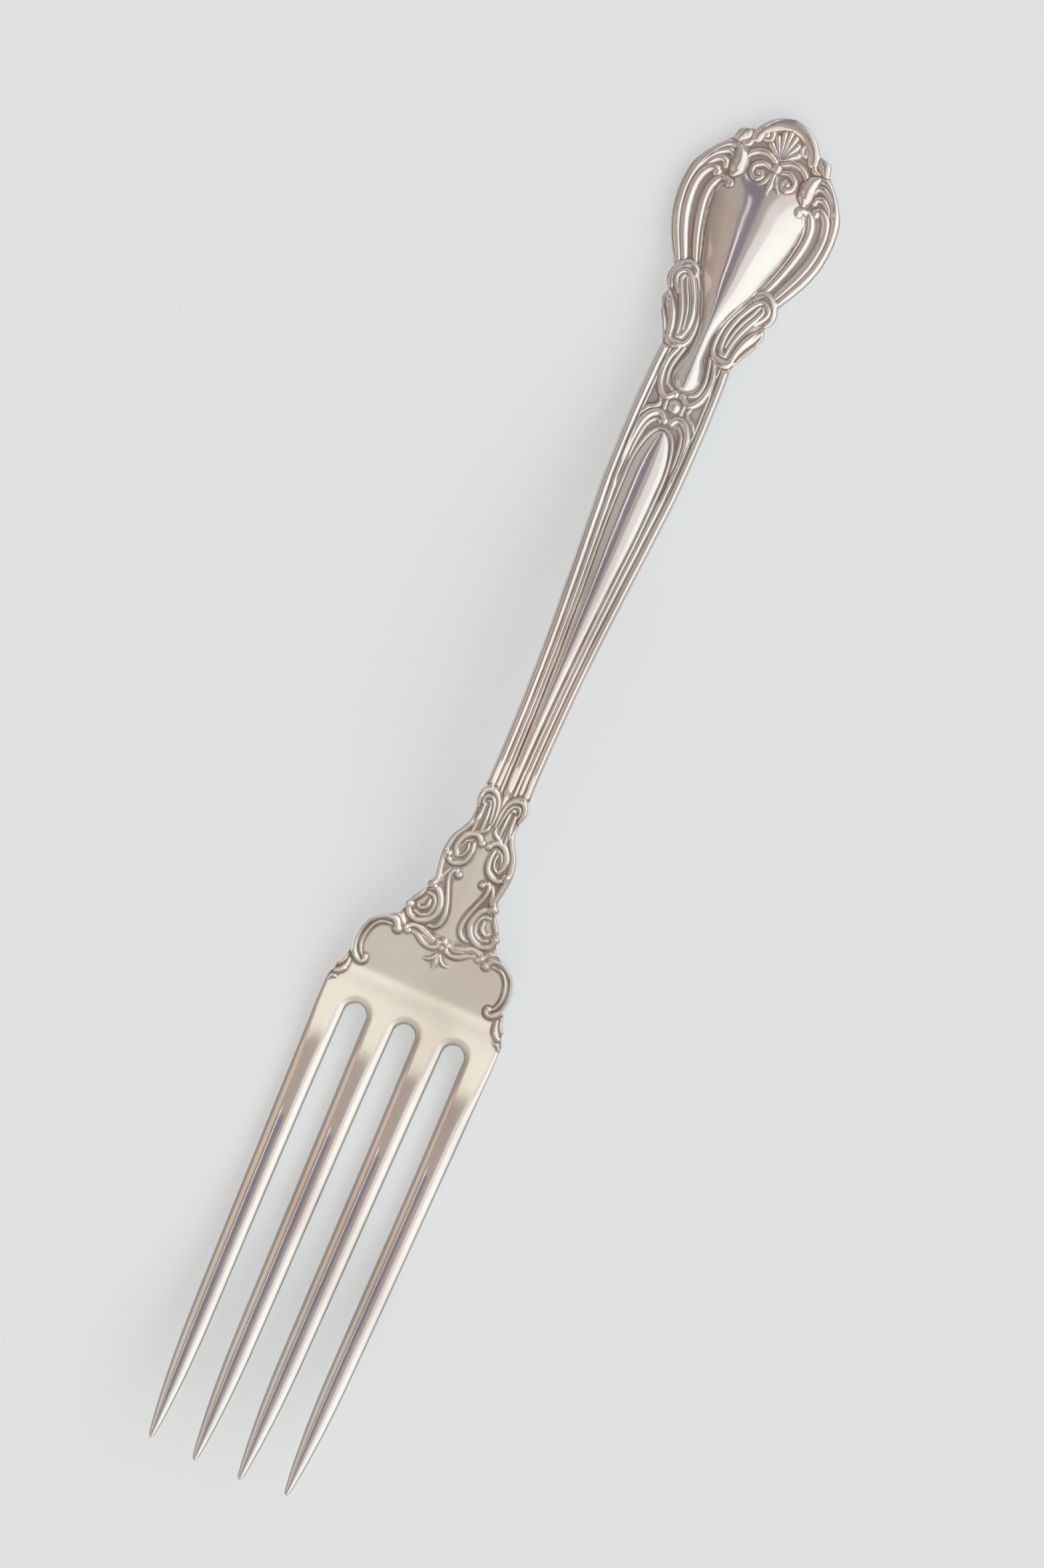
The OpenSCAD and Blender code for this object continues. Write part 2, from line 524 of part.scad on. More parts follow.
// Cartouche: smooth field, ridged border and a fluted leaf on each side
flutes = [
    [[0.42, 0.54], [0.19, 0.28]],
    [[0.48, 0.53], [0.27, 0.25]],
    [[0.55, 0.53], [0.34, 0.23]],
    [[0.6, 0.5], [0.41, 0.24]],
    [[0.66, 0.47], [0.47, 0.27]],
    [[0.63, 0.38], [0.5, 0.26]]
];
module cartouche() {
    color("silver") between(s_cartouche, s_crest) {
        rows = stations(s_cartouche, s_crest, 16);
        slab([for (s = rows) top_row(cartouche_half(s), s)], [for (s = rows) back_row(s)]);
        for (f = flutes)
            lobe(cartouche_zone, f[0], f[1], bead_radius, strand_radius, -ground_depth * 0.5);
        lobe(cartouche_zone, [0.3, 0.21], [0.38, 0.22], bead_radius * 1.2, bead_radius, -ground_depth);
        scroll(cartouche_zone, [[0.28, 0.01], [0.32, 0.06], [0.28, 0.15], [0.22, 0.2]],
            strand_radius, -groove_depth * 0.8);
        bead(cartouche_zone, [0.46, 0.975], bead_radius, -groove_depth * 0.4);
    }
}

// Crest: hood over a pair of volutes, with two drops and a palmette below it
module crest() {
    s_tip = fork_length - hood_width * 0.3;
    rows = concat(stations(s_crest, s_tip, 6), [for (a = [66 : -15 : 6]) s_tip + hood_width * 0.3 * cos(a)]);
    level = -groove_depth * 0.6;
    color("silver") between(s_crest, fork_length) {
        slab([for (s = rows) top_row(cartouche_half(s), s)], [for (s = rows) back_row(s)]);
        scroll(crest_zone, [[0.98, 0.62], [0.86, 0.76], [0.62, 0.88], [0.32, 0.935], [0, 0.945]],
            scroll_radius * 1.3, -groove_depth * 0.8);
        scroll(crest_zone, [[0.75, 0.66], [0.62, 0.75], [0.44, 0.75], [0.4, 0.66], [0.5, 0.62]],
            strand_radius, level);
        scroll(brow_zone, [[0.43, 0.45], [0.545, 0.42], [0.68, 0.28], [0.795, 0.08]], scroll_radius, level);
        bead(brow_zone, [0.52, 0.57], bead_radius * 1.4, -groove_depth);
        bead(crest_zone, [0.52, 0.68], bead_radius, level);
        bead(crest_zone, [0.4, 0.17], bead_radius * 1.1, level);
        lobe(crest_zone, [1, 0.28], [0.9, 0.06], bead_radius * 1.3, strand_radius, level);
        for (a = [0 : 30 : 60])
            lobe(crest_zone, [0.55 * sin(a), 0.32 + 0.26 * cos(a)], [0.1 * sin(a), 0.3],
                bead_radius * 0.9, strand_radius, level);
    }
}

tine_outer_left();
tine_inner_left();
tine_inner_right();
tine_outer_right();
head();
neck();
collar();
stem();
knot();
cartouche();
crest();
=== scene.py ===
"""Silver table fork: carved meshes over the CAD frame, worn silver finish, studio light and camera."""
import math

import bpy
import numpy as np
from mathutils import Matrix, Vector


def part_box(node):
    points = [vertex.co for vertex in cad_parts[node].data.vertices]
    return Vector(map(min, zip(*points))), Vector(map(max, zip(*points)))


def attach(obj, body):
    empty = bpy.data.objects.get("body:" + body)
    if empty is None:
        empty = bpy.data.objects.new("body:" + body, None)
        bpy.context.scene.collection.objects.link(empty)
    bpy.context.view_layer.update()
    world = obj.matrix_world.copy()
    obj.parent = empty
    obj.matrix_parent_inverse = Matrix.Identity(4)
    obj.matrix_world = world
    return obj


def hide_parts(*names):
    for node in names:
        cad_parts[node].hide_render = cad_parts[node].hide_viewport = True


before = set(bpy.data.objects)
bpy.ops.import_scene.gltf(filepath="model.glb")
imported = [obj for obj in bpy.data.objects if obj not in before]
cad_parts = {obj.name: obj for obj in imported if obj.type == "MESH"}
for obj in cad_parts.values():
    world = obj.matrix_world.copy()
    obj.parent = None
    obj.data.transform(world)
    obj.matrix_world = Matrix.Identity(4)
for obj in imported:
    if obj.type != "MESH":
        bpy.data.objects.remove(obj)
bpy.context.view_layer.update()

MM = 0.001
X_AXIS = 0
Y_AXIS = 1


def side_of(node, corner, axis):
    """Low (0) or high (1) side of a node's box along an axis, in millimetres to the hundredth."""
    return round(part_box(node)[corner][axis] / MM, 2)


# Stations along the fork, in millimetres from the tine tips: the planes where the nodes meet
TIPS = side_of("tine_inner_left", 0, Y_AXIS)
LENGTH = -2 * TIPS


def end_of(node):
    return round(side_of(node, 1, Y_AXIS) - TIPS, 2)


ROOT = end_of("tine_inner_left")
NECK = end_of("head")
COLLAR = end_of("neck")
STEM = end_of("collar")
KNOT = end_of("stem")
CARTOUCHE = end_of("knot")
CREST = end_of("cartouche")

# Side view
HEEL = 40.0
ARCH = 85.3
REST = 145.0
ARCH_HEIGHT = 9.5
TINE_BEND = 82.0
END_BEND = 60.0
REST_WEAR = 0.08

# Head and tines
HEAD_WIDTH = side_of("head", 1, X_AXIS) - side_of("head", 0, X_AXIS)
TINE_ROOT_WIDTH = round(side_of("tine_inner_left", 1, X_AXIS) - side_of("tine_inner_left", 0, X_AXIS), 2)
TINE_POINT_WIDTH = 2.5
TINE_TIP_WIDTH = 0.5
TINE_POINT = 12.0
TIP_SPREAD = 15.2
TIP_SETBACK = round(side_of("tine_outer_left", 0, Y_AXIS) - TIPS, 2)
TIP_ROUND = 0.5
PITCH = (HEAD_WIDTH - TINE_ROOT_WIDTH) / 3
SLOT_RADIUS = (PITCH - TINE_ROOT_WIDTH) / 2
CROWN = TINE_ROOT_WIDTH / 2
# Places of the tines across the head, counted in pitches from the middle
TINES = {"tine_outer_left": -1.5, "tine_inner_left": -0.5, "tine_inner_right": 0.5, "tine_outer_right": 1.5}

# Mesh density: rows along the fork in millimetres, columns across it
ROW = 0.08
PLAIN_ROW = 0.25
ROW_SLACK = 0.001
EDGE_COLUMNS = 8
TINE_COLUMNS = 40
SLOT_COLUMNS = 20
TOP_COLUMNS = 4 * TINE_COLUMNS + 3 * SLOT_COLUMNS
BACK_COLUMNS = 26
CORNER_COLUMNS = 5

# Stations at which lines along the fork are held, past both ends so that smoothing has room
FINE = np.arange(-15.0, 168.0, 0.05)


def unit(t):
    """Held between 0 and 1."""
    return np.clip(t, 0.0, 1.0)


def ease(a, b, t):
    """Smooth step from 0 at a to 1 at b."""
    u = unit((t - a) / (b - a))
    return u * u * (3.0 - 2.0 * u)


def mix(a, b, t):
    """From a, where t is 0, to b, where t is 1."""
    return a + (b - a) * t


def curve(knots, t):
    """Smooth curve through (place, value) knots that does not overshoot."""
    k = np.array([p[0] for p in knots], float)
    v = np.array([p[1] for p in knots], float)
    t = np.clip(np.asarray(t, float), k[0], k[-1])
    h = np.diff(k)
    d = np.diff(v) / h
    m = np.empty_like(v)
    m[0] = d[0]
    m[-1] = d[-1]
    same = d[:-1] * d[1:] > 0
    total = np.where(same, d[:-1] + d[1:], 1.0)
    m[1:-1] = np.where(same, 2.0 * d[:-1] * d[1:] / total, 0.0)
    i = np.clip(np.searchsorted(k, t, side="right") - 1, 0, len(h) - 1)
    u = (t - k[i]) / h[i]
    a = (2 * u**3 - 3 * u**2 + 1) * v[i] + (u**3 - 2 * u**2 + u) * m[i] * h[i]
    return a + (3 * u**2 - 2 * u**3) * v[i + 1] + (u**3 - u**2) * m[i + 1] * h[i]


def blur(a, sigma, axis):
    """Gaussian blur along one axis, sigma in samples, with the border values carried outwards."""
    r = max(1, int(sigma * 3 + 0.5))
    taps = np.exp(-0.5 * (np.arange(-r, r + 1) / sigma) ** 2)
    taps /= taps.sum()
    pad = [(0, 0)] * a.ndim
    pad[axis] = (r, r)
    p = np.pad(a, pad, mode="edge")
    n = a.shape[axis]
    out = np.zeros_like(a)
    for k, w in enumerate(taps):
        out += w * np.take(p, np.arange(k, k + n), axis=axis)
    return out


def bend(s):
    """Height of the bent middle line: tines curve up, the handle arches and lifts at its end."""
    tines = (HEEL - s) ** 2 / (2 * TINE_BEND)
    rise = ARCH_HEIGHT * (1 - np.cos(np.pi * (s - HEEL) / (ARCH - HEEL))) / 2
    fall = ARCH_HEIGHT * (1 + np.cos(np.pi * (s - ARCH) / (REST - ARCH))) / 2
    lift = (s - REST) ** 2 / (2 * END_BEND)
    return np.where(s < HEEL, tines, np.where(s < ARCH, rise, np.where(s < REST, fall, lift)))


THICKNESS = [
    (0, 1.0), (TINE_POINT, 1.66), (ROOT, 2.1), (54.8, 1.9), (68.0, 2.4), (80.4, 3.1), (KNOT, 2.8),
    (CREST, 2.2), (LENGTH, 1.9),
]
UNDER_BLUR = 16.0
THICK_BLUR = 30.0
CREASE_AT = 53.4
CREASE_HALF = 1.7
CREASE_DEPTH = 0.12
under_line = blur(np.maximum(bend(FINE) - REST_WEAR, 0.0), UNDER_BLUR, 0)
under_line = np.maximum(under_line - under_line.min(), 0.0)
thick_line = blur(curve(THICKNESS, FINE), THICK_BLUR, 0)


def under(s):
    """Height of the back over the floor."""
    return np.interp(s, FINE, under_line)


def thickness(s):
    return np.interp(s, FINE, thick_line)


def face(s):
    """Height of the uncarved face, with the shallow crease across the palm."""
    crease = CREASE_DEPTH * np.exp(-(((s - CREASE_AT) / CREASE_HALF) ** 2))
    return under(s) + thickness(s) - crease


# Strokes of the carved relief, drawn on the right half and mirrored. Points are (x, s): millimetres
# from the middle line and along the fork from the tine tips. Radius and height are in millimetres too.


def through(points, step=0.05):
    """Smooth path through a few points, and how far along it each of its points is, from 0 to 1."""
    q = np.array(points, float)
    if len(q) == 1:
        return q, np.zeros(1)
    ends = np.vstack([2 * q[0] - q[1], q, 2 * q[-1] - q[-2]])
    out = []
    for i in range(len(q) - 1):
        a, b, c, d = ends[i : i + 4]
        n = max(2, int(np.linalg.norm(c - b) / step))
        u = np.linspace(0, 1, n, endpoint=False)[:, None]
        p = 2 * b + (c - a) * u + (2 * a - 5 * b + 4 * c - d) * u**2 + (3 * b - a - 3 * c + d) * u**3
        out.append(p / 2)
    path = np.vstack(out + [q[-1:]])
    run = np.concatenate([[0], np.cumsum(np.linalg.norm(np.diff(path, axis=0), axis=1))])
    return path, run / run[-1]


def along(values, t):
    """Value at t of a number or of a list that runs evenly from one end to the other."""
    values = np.atleast_1d(np.array(values, float))
    return np.interp(t, np.linspace(0, 1, len(values)), values)


strokes = []
FULLNESS = {"body": 1.0, "ridge": 1.2}
NECK_RELIEF = 0.46
HANDLE_RELIEF = 0.37
NECK_POWER = 0.85
HANDLE_POWER = 1.0
BALL_POWER = 0.8
CHUNK = 24


def stroke(points, radius, height, group="ridge", power=None, both=True):
    """A rounded ridge along a path. radius and height may be lists that run along it."""
    path, t = through(points)
    low_down = points[0][1] < STEM
    if power is None:
        power = NECK_POWER if low_down else HANDLE_POWER
    r = along(radius, t)
    h = along(height, t)
    if group == "ridge":
        h = h * (NECK_RELIEF if low_down else HANDLE_RELIEF)
    strokes.append((path, r, h, group, power))
    if both:
        strokes.append((path * np.array([-1.0, 1.0]), r, h, group, power))


def ball(x, s, radius, height):
    stroke([(x, s)], radius, height, power=BALL_POWER, both=x != 0)


def add_strokes(X, S, group):
    """Greatest height of the strokes of one group at each point of a grid."""
    H = np.zeros(X.shape)
    low = S.min(axis=1)
    high = S.max(axis=1)
    for path, r, h, g, power in strokes:
        if g != group:
            continue
        for i in range(0, len(path), CHUNK):
            p = path[i : i + CHUNK + 1]
            pr = r[i : i + CHUNK + 1] * FULLNESS[group]
            ph = h[i : i + CHUNK + 1]
            reach = pr.max()
            rows = np.nonzero((high > p[:, 1].min() - reach) & (low < p[:, 1].max() + reach))[0]
            if not len(rows):
                continue
            a, b = rows[0], rows[-1] + 1
            x = X[a:b]
            s = S[a:b]
            near = (x > p[:, 0].min() - reach) & (x < p[:, 0].max() + reach)
            if not near.any():
                continue
            d2 = (x[near][:, None] - p[:, 0]) ** 2 + (s[near][:, None] - p[:, 1]) ** 2
            q = unit(1.0 - d2 / pr**2)
            top = (ph * q**power).max(axis=1)
            block = H[a:b]
            block[near] = np.maximum(block[near], top)
    return H


# Palm: shoulder scrolls, buds at the notches, small scrolls and a husk at the top
stroke(
    [(5.0, 58.75), (5.5, 59.4), (6.4, 59.5), (7.25, 59.05), (8.06, 58.3), (8.52, 57.1), (8.6, 55.9),
     (8.36, 54.8), (7.8, 54.1), (7.2, 53.95), (6.88, 54.25), (7.0, 54.6)],
    [0.3, 0.38, 0.34, 0.29, 0.27, 0.27, 0.27, 0.28, 0.3, 0.32, 0.28, 0.2],
    [0.34, 0.44, 0.44, 0.42, 0.42, 0.42, 0.42, 0.42, 0.44, 0.44, 0.42, 0.34],
)
stroke(
    [(5.7, 58.85), (6.8, 58.7), (7.5, 57.95), (7.88, 56.9), (7.94, 55.8), (7.68, 55.0), (7.35, 54.6)],
    [0.12, 0.17, 0.18, 0.18, 0.18, 0.16, 0.1], [0.16, 0.3, 0.32, 0.32, 0.32, 0.28, 0.14],
)
ball(5.0, 58.6, 0.42, 0.4)
ball(7.0, 54.5, 0.32, 0.4)
stroke(
    [(8.85, 54.2), (8.92, 53.5), (9.25, 52.95), (9.55, 52.75)],
    [0.14, 0.2, 0.22, 0.14], [0.24, 0.32, 0.32, 0.22],
)
stroke(
    [(8.42, 53.75), (8.45, 53.2), (8.7, 52.5), (9.15, 52.1), (9.55, 52.05)],
    [0.12, 0.22, 0.3, 0.28, 0.2], [0.16, 0.34, 0.4, 0.36, 0.26],
)
stroke(
    [(9.75, 50.9), (9.58, 51.3), (9.25, 51.45), (8.92, 51.42)],
    [0.12, 0.17, 0.17, 0.1], [0.18, 0.26, 0.26, 0.12],
)
stroke(
    [(1.3, 59.15), (2.2, 59.5), (3.1, 59.75), (3.9, 59.6), (4.25, 59.15), (3.9, 58.85)],
    [0.16, 0.26, 0.28, 0.26, 0.22], [0.16, 0.28, 0.3, 0.26, 0.2],
)
stroke(
    [(0.45, 58.95), (0.6, 58.4), (1.2, 58.2), (2.0, 58.35), (2.8, 58.85), (3.4, 59.1)],
    [0.22, 0.24, 0.26, 0.24, 0.16], [0.22, 0.28, 0.28, 0.24, 0.12],
)
ball(0.5, 59.0, 0.3, 0.26)
ball(3.95, 58.9, 0.3, 0.26)
ball(0.0, 59.3, 0.34, 0.3)
ball(0.0, 58.55, 0.28, 0.24)
stroke([(0.0, 57.8), (0.0, 57.0), (0.0, 56.05)], [0.1, 0.28, 0.07], [0.16, 0.28, 0.08], both=False)
stroke(
    [(0.16, 57.8), (0.42, 57.28), (0.85, 56.95), (1.4, 56.95)],
    [0.1, 0.16, 0.16, 0.08], [0.2, 0.3, 0.28, 0.12],
)

# Neck: open C-scrolls at the foot, long S-scrolls beside the keel, interlaced scrolls in the swelling
stroke(
    [(3.6, 64.25), (2.75, 64.05), (2.05, 63.25), (1.85, 62.0), (2.35, 60.9), (3.4, 60.3), (4.4, 60.5),
     (4.9, 61.3)],
    [0.3, 0.34, 0.38, 0.38, 0.38, 0.34, 0.3], [0.34, 0.42, 0.46, 0.46, 0.46, 0.42, 0.36],
)
stroke(
    [(3.5, 63.4), (2.85, 63.3), (2.4, 62.5), (2.6, 61.4), (3.3, 60.95), (4.1, 61.1)],
    [0.16, 0.22, 0.24, 0.22, 0.16], [0.16, 0.3, 0.32, 0.3, 0.14],
)
stroke(
    [(3.05, 62.7), (3.1, 62.0), (3.6, 61.6), (4.0, 61.8)],
    [0.18, 0.24, 0.22, 0.12], [0.18, 0.28, 0.26, 0.1],
)
ball(3.65, 64.35, 0.55, 0.48)
ball(4.95, 61.5, 0.52, 0.46)
stroke([(3.95, 63.6), (4.3, 62.9), (4.75, 62.3)], [0.2, 0.34, 0.3], [0.2, 0.34, 0.28])
stroke(
    [(1.4, 66.3), (1.75, 66.65), (2.12, 66.3), (2.1, 65.4), (1.7, 64.2), (1.25, 62.9), (1.05, 61.7),
     (1.2, 60.8), (1.65, 60.3), (2.2, 60.25)],
    [0.24, 0.26, 0.24, 0.24, 0.25, 0.28, 0.3, 0.28, 0.18],
    [0.3, 0.36, 0.36, 0.36, 0.36, 0.38, 0.38, 0.34, 0.2],
)
ball(1.38, 66.3, 0.36, 0.4)
stroke(
    [(0.4, 70.3), (1.2, 70.95), (2.1, 70.6), (2.65, 69.7), (2.65, 68.8), (2.4, 68.3)],
    [0.24, 0.32, 0.34, 0.34, 0.24], [0.26, 0.38, 0.4, 0.38, 0.26],
)
ball(0.45, 70.3, 0.36, 0.34)
stroke(
    [(1.15, 69.95), (1.06, 69.0), (1.3, 68.0), (1.95, 67.4), (2.65, 67.3), (3.15, 67.65)],
    [0.2, 0.28, 0.32, 0.34, 0.3, 0.26], [0.24, 0.38, 0.42, 0.42, 0.38, 0.32],
)
ball(3.2, 67.95, 0.38, 0.42)
stroke(
    [(1.5, 70.2), (1.95, 69.95), (2.22, 69.35), (2.3, 68.75)],
    [0.1, 0.15, 0.15, 0.08], [0.14, 0.28, 0.28, 0.12],
)
stroke(
    [(1.62, 69.8), (1.55, 69.1), (1.8, 68.4), (2.3, 68.1), (2.65, 68.2)],
    [0.1, 0.17, 0.18, 0.16, 0.08], [0.14, 0.3, 0.32, 0.28, 0.12],
)
stroke([(2.35, 66.6), (2.75, 65.8), (2.75, 65.0)], [0.14, 0.22, 0.14], [0.14, 0.26, 0.12])

# Collar: bars, curled leaf and knuckles
stroke([(1.0, 71.5), (1.02, 73.0), (1.08, 74.2)], [0.2, 0.24, 0.2], [0.26, 0.36, 0.3])
stroke([(1.82, 70.9), (1.76, 72.4), (1.72, 74.2)], [0.2, 0.26, 0.2], [0.26, 0.36, 0.3])
stroke(
    [(0.4, 72.3), (0.42, 71.9), (0.8, 71.5), (1.5, 71.2)],
    [0.14, 0.26, 0.24, 0.12], [0.24, 0.4, 0.36, 0.16],
)
stroke(
    [(0.0, 76.7), (0.0, 76.1), (0.0, 75.5), (0.0, 74.6), (0.0, 73.2)],
    [0.34, 0.34, 0.3, 0.22, 0.12], [0.0, 0.26, 0.44, 0.38, 0.2], both=False,
)
stroke(
    [(2.4, 73.9), (2.5, 74.7), (2.3, 75.5), (1.7, 75.85), (0.95, 75.6), (0.45, 74.9), (0.22, 73.8),
     (0.2, 72.5)],
    [0.3, 0.46, 0.46, 0.38, 0.3, 0.26, 0.22, 0.16], [0.4, 0.72, 0.74, 0.66, 0.52, 0.46, 0.4, 0.24],
)
stroke(
    [(1.95, 74.25), (2.0, 74.8), (1.68, 75.2), (1.2, 75.12), (0.82, 74.55), (0.6, 73.5), (0.5, 72.6)],
    [0.18, 0.22, 0.24, 0.24, 0.22, 0.16], [0.34, 0.46, 0.5, 0.48, 0.42, 0.2],
)
stroke([(1.5, 74.6), (1.28, 74.7), (1.15, 74.3)], [0.14, 0.18, 0.12], [0.3, 0.36, 0.26])

# Knot: arms of the bulb, bead, bars and curls over the arched panel
stroke(
    [(2.0, 126.0), (2.5, 124.6), (2.6, 123.2), (2.25, 121.6), (1.35, 120.65), (0.5, 121.2)],
    [0.22, 0.3, 0.34, 0.34, 0.28], [0.24, 0.38, 0.42, 0.42, 0.34],
)
stroke(
    [(1.45, 126.2), (1.75, 125.0), (1.98, 123.6), (1.75, 122.2), (1.0, 121.6)],
    [0.16, 0.2, 0.22, 0.22, 0.16], [0.16, 0.28, 0.32, 0.3, 0.2],
)
ball(0.42, 121.3, 0.38, 0.36)
ball(0.0, 120.0, 0.62, 0.52)
stroke([(0.92, 119.5), (0.95, 120.3)], 0.22, 0.32)
stroke(
    [(1.7, 120.35), (1.55, 119.8), (1.85, 119.3), (2.5, 118.9), (2.85, 118.2)],
    [0.16, 0.22, 0.26, 0.24, 0.14], [0.2, 0.3, 0.34, 0.32, 0.16],
)
stroke(
    [(0.38, 118.2), (0.75, 118.75), (1.35, 118.85), (2.0, 118.4), (2.5, 117.4), (2.72, 116.0),
     (2.8, 114.2), (2.79, 112.0), (2.76, 110.5)],
    [0.28, 0.4, 0.42, 0.36, 0.32, 0.3, 0.28], [0.34, 0.46, 0.46, 0.42, 0.38, 0.34, 0.3],
)
ball(0.4, 118.3, 0.36, 0.36)
stroke(
    [(0.8, 117.95), (1.35, 118.0), (1.9, 117.3), (2.2, 116.1), (2.33, 114.6), (2.35, 113.0)],
    [0.14, 0.2, 0.22, 0.2, 0.14], [0.18, 0.3, 0.3, 0.26, 0.1],
)

# Leaves beside the field: nested rolls that fold over at the top and gather into a scroll at the foot
stroke([(4.4, 133.0), (3.4, 130.3), (2.7, 127.4)], [1.5, 1.4, 1.0], [0.16, 0.18, 0.12], group="body")
stroke(
    [(3.3, 133.75), (3.45, 134.3), (4.05, 134.65), (4.8, 134.5), (5.45, 134.0), (5.8, 133.2),
     (5.8, 132.4), (5.5, 131.75)],
    [0.36, 0.46, 0.5, 0.5, 0.48, 0.34], [0.36, 0.46, 0.48, 0.48, 0.44, 0.3],
)
stroke(
    [(3.2, 133.9), (2.75, 133.0), (2.2, 132.0), (1.75, 131.0), (1.42, 130.0), (1.28, 129.0),
     (1.24, 128.0), (1.38, 127.1), (1.75, 126.5)],
    [0.26, 0.3, 0.3, 0.28, 0.28, 0.3], [0.34, 0.42, 0.42, 0.4, 0.4, 0.42],
)
stroke(
    [(2.7, 127.1), (2.25, 127.2), (1.97, 127.8), (1.9, 128.6), (1.97, 129.6), (2.2, 130.6),
     (2.55, 131.6), (3.05, 132.6), (3.6, 133.45), (4.2, 133.9), (4.8, 133.75), (5.2, 133.2),
     (5.15, 132.6), (4.8, 132.05), (4.35, 131.5)],
    [0.22, 0.28, 0.3, 0.3, 0.3, 0.3, 0.28], [0.3, 0.4, 0.42, 0.42, 0.44, 0.42, 0.28],
)
stroke(
    [(4.15, 133.3), (3.75, 132.3), (3.2, 131.2), (2.78, 130.1), (2.53, 129.0), (2.4, 128.0)],
    [0.16, 0.22, 0.22, 0.2, 0.14], [0.24, 0.36, 0.36, 0.34, 0.2],
)
stroke(
    [(4.45, 133.35), (4.62, 132.85), (4.35, 132.1), (3.85, 131.1), (3.37, 130.0), (3.05, 129.0),
     (2.85, 127.9), (2.8, 127.2)],
    [0.2, 0.28, 0.3, 0.28, 0.24, 0.18], [0.28, 0.4, 0.42, 0.4, 0.36, 0.24],
)
stroke(
    [(5.4, 131.0), (4.95, 130.3), (4.45, 129.5), (4.08, 128.7), (3.8, 127.8), (3.65, 127.0)],
    [0.34, 0.46, 0.46, 0.4, 0.32], [0.34, 0.46, 0.46, 0.42, 0.34],
)
stroke([(5.5, 131.0), (5.6, 130.4), (5.4, 129.7)], [0.22, 0.3, 0.24], [0.26, 0.32, 0.22])
stroke(
    [(5.3, 129.2), (4.95, 128.6), (4.55, 127.9), (4.25, 127.2), (4.0, 126.6)],
    [0.24, 0.32, 0.3, 0.22], [0.26, 0.38, 0.38, 0.24],
)
stroke(
    [(1.75, 126.5), (2.3, 126.25), (2.95, 126.2), (3.45, 126.45), (3.6, 126.85)],
    [0.34, 0.42, 0.44, 0.42, 0.34], [0.42, 0.46, 0.46, 0.46, 0.4],
)

# Ridged border of the cartouche
stroke(
    [(5.75, 134.5), (6.45, 136.0), (7.2, 137.6), (7.8, 139.3), (8.12, 141.2), (8.15, 142.8),
     (7.95, 144.3), (7.4, 145.9), (6.6, 147.2), (5.6, 148.15), (4.75, 148.3)],
    [0.34, 0.42, 0.42, 0.42, 0.42, 0.42, 0.38], [0.3, 0.36, 0.38, 0.38, 0.38, 0.38, 0.34],
)
stroke(
    [(5.15, 134.7), (5.75, 136.0), (6.45, 137.6), (7.05, 139.4), (7.38, 141.3), (7.4, 142.8),
     (7.1, 144.1), (6.5, 144.95), (5.85, 145.1), (5.55, 144.7)],
    [0.34, 0.44, 0.46, 0.46, 0.46, 0.42, 0.3], [0.26, 0.36, 0.38, 0.38, 0.38, 0.36, 0.28],
)
stroke(
    [(3.9, 134.9), (4.35, 136.0), (5.0, 137.9), (5.55, 140.0), (5.8, 141.8), (5.7, 143.2), (5.15, 144.3),
     (4.45, 144.55), (4.05, 144.2)],
    [0.24, 0.32, 0.36, 0.38, 0.38, 0.36, 0.3], [0.22, 0.32, 0.36, 0.38, 0.38, 0.38, 0.32],
)
stroke(
    [(3.5, 135.0), (3.85, 136.0), (4.45, 137.9), (4.95, 140.0), (5.17, 141.8), (5.05, 143.1),
     (4.6, 143.9)],
    [0.14, 0.2, 0.22, 0.22, 0.2, 0.14], [0.12, 0.22, 0.24, 0.24, 0.22, 0.12],
)
ball(4.05, 144.2, 0.46, 0.42)
ball(5.6, 144.75, 0.4, 0.36)

# Crest: hood, side lobes, volutes, palmette, drops and a pendant
HOOD_CENTRE = 149.0
HOOD_RADIUS = 4.0
HOOD_ROLL = 3.36
hood_arc = [math.radians(a) for a in range(12, 169, 8)]
hood_path = [(HOOD_ROLL * math.cos(a), HOOD_CENTRE + HOOD_ROLL * math.sin(a)) for a in hood_arc]
stroke(hood_path, [0.56, 0.64, 0.66, 0.64, 0.56], [0.42, 0.5, 0.5, 0.5, 0.42], power=0.6, both=False)
stroke([(4.2, 149.85), (4.7, 149.6), (4.95, 149.1)], [0.55, 0.72, 0.6], [0.42, 0.5, 0.42])
stroke(
    [(3.5, 149.5), (3.75, 148.9), (4.3, 148.75), (4.75, 148.85)],
    [0.2, 0.28, 0.26, 0.16], [0.2, 0.32, 0.3, 0.16],
)
stroke(
    [(3.35, 149.6), (3.1, 150.6), (2.4, 151.1), (1.75, 150.75), (1.75, 150.1), (2.3, 149.95)],
    [0.18, 0.26, 0.28, 0.26, 0.2], [0.2, 0.32, 0.34, 0.32, 0.24],
)
ball(2.35, 150.45, 0.36, 0.34)
for x, s in ((0.0, 151.55), (0.62, 151.2), (1.15, 150.55), (1.5, 149.7)):
    lobe = [(x, s), (x * 0.62, mix(148.5, s, 0.6)), (x * 0.18, 148.6)]
    stroke(lobe, [0.3, 0.28, 0.14], [0.36, 0.36, 0.16], both=x != 0)
stroke(
    [(0.35, 148.15), (1.3, 148.65), (2.4, 148.55), (3.2, 147.95), (3.35, 147.3)],
    [0.2, 0.28, 0.3, 0.28, 0.2], [0.22, 0.36, 0.38, 0.34, 0.2],
)
ball(0.0, 147.5, 0.46, 0.42)
stroke(
    [(0.55, 147.3), (1.4, 147.55), (2.25, 147.05), (2.35, 146.25), (1.75, 145.75), (1.15, 146.1),
     (1.35, 146.65)],
    [0.18, 0.26, 0.28, 0.28, 0.22], [0.2, 0.34, 0.36, 0.34, 0.24],
)
ball(1.65, 146.4, 0.32, 0.32)
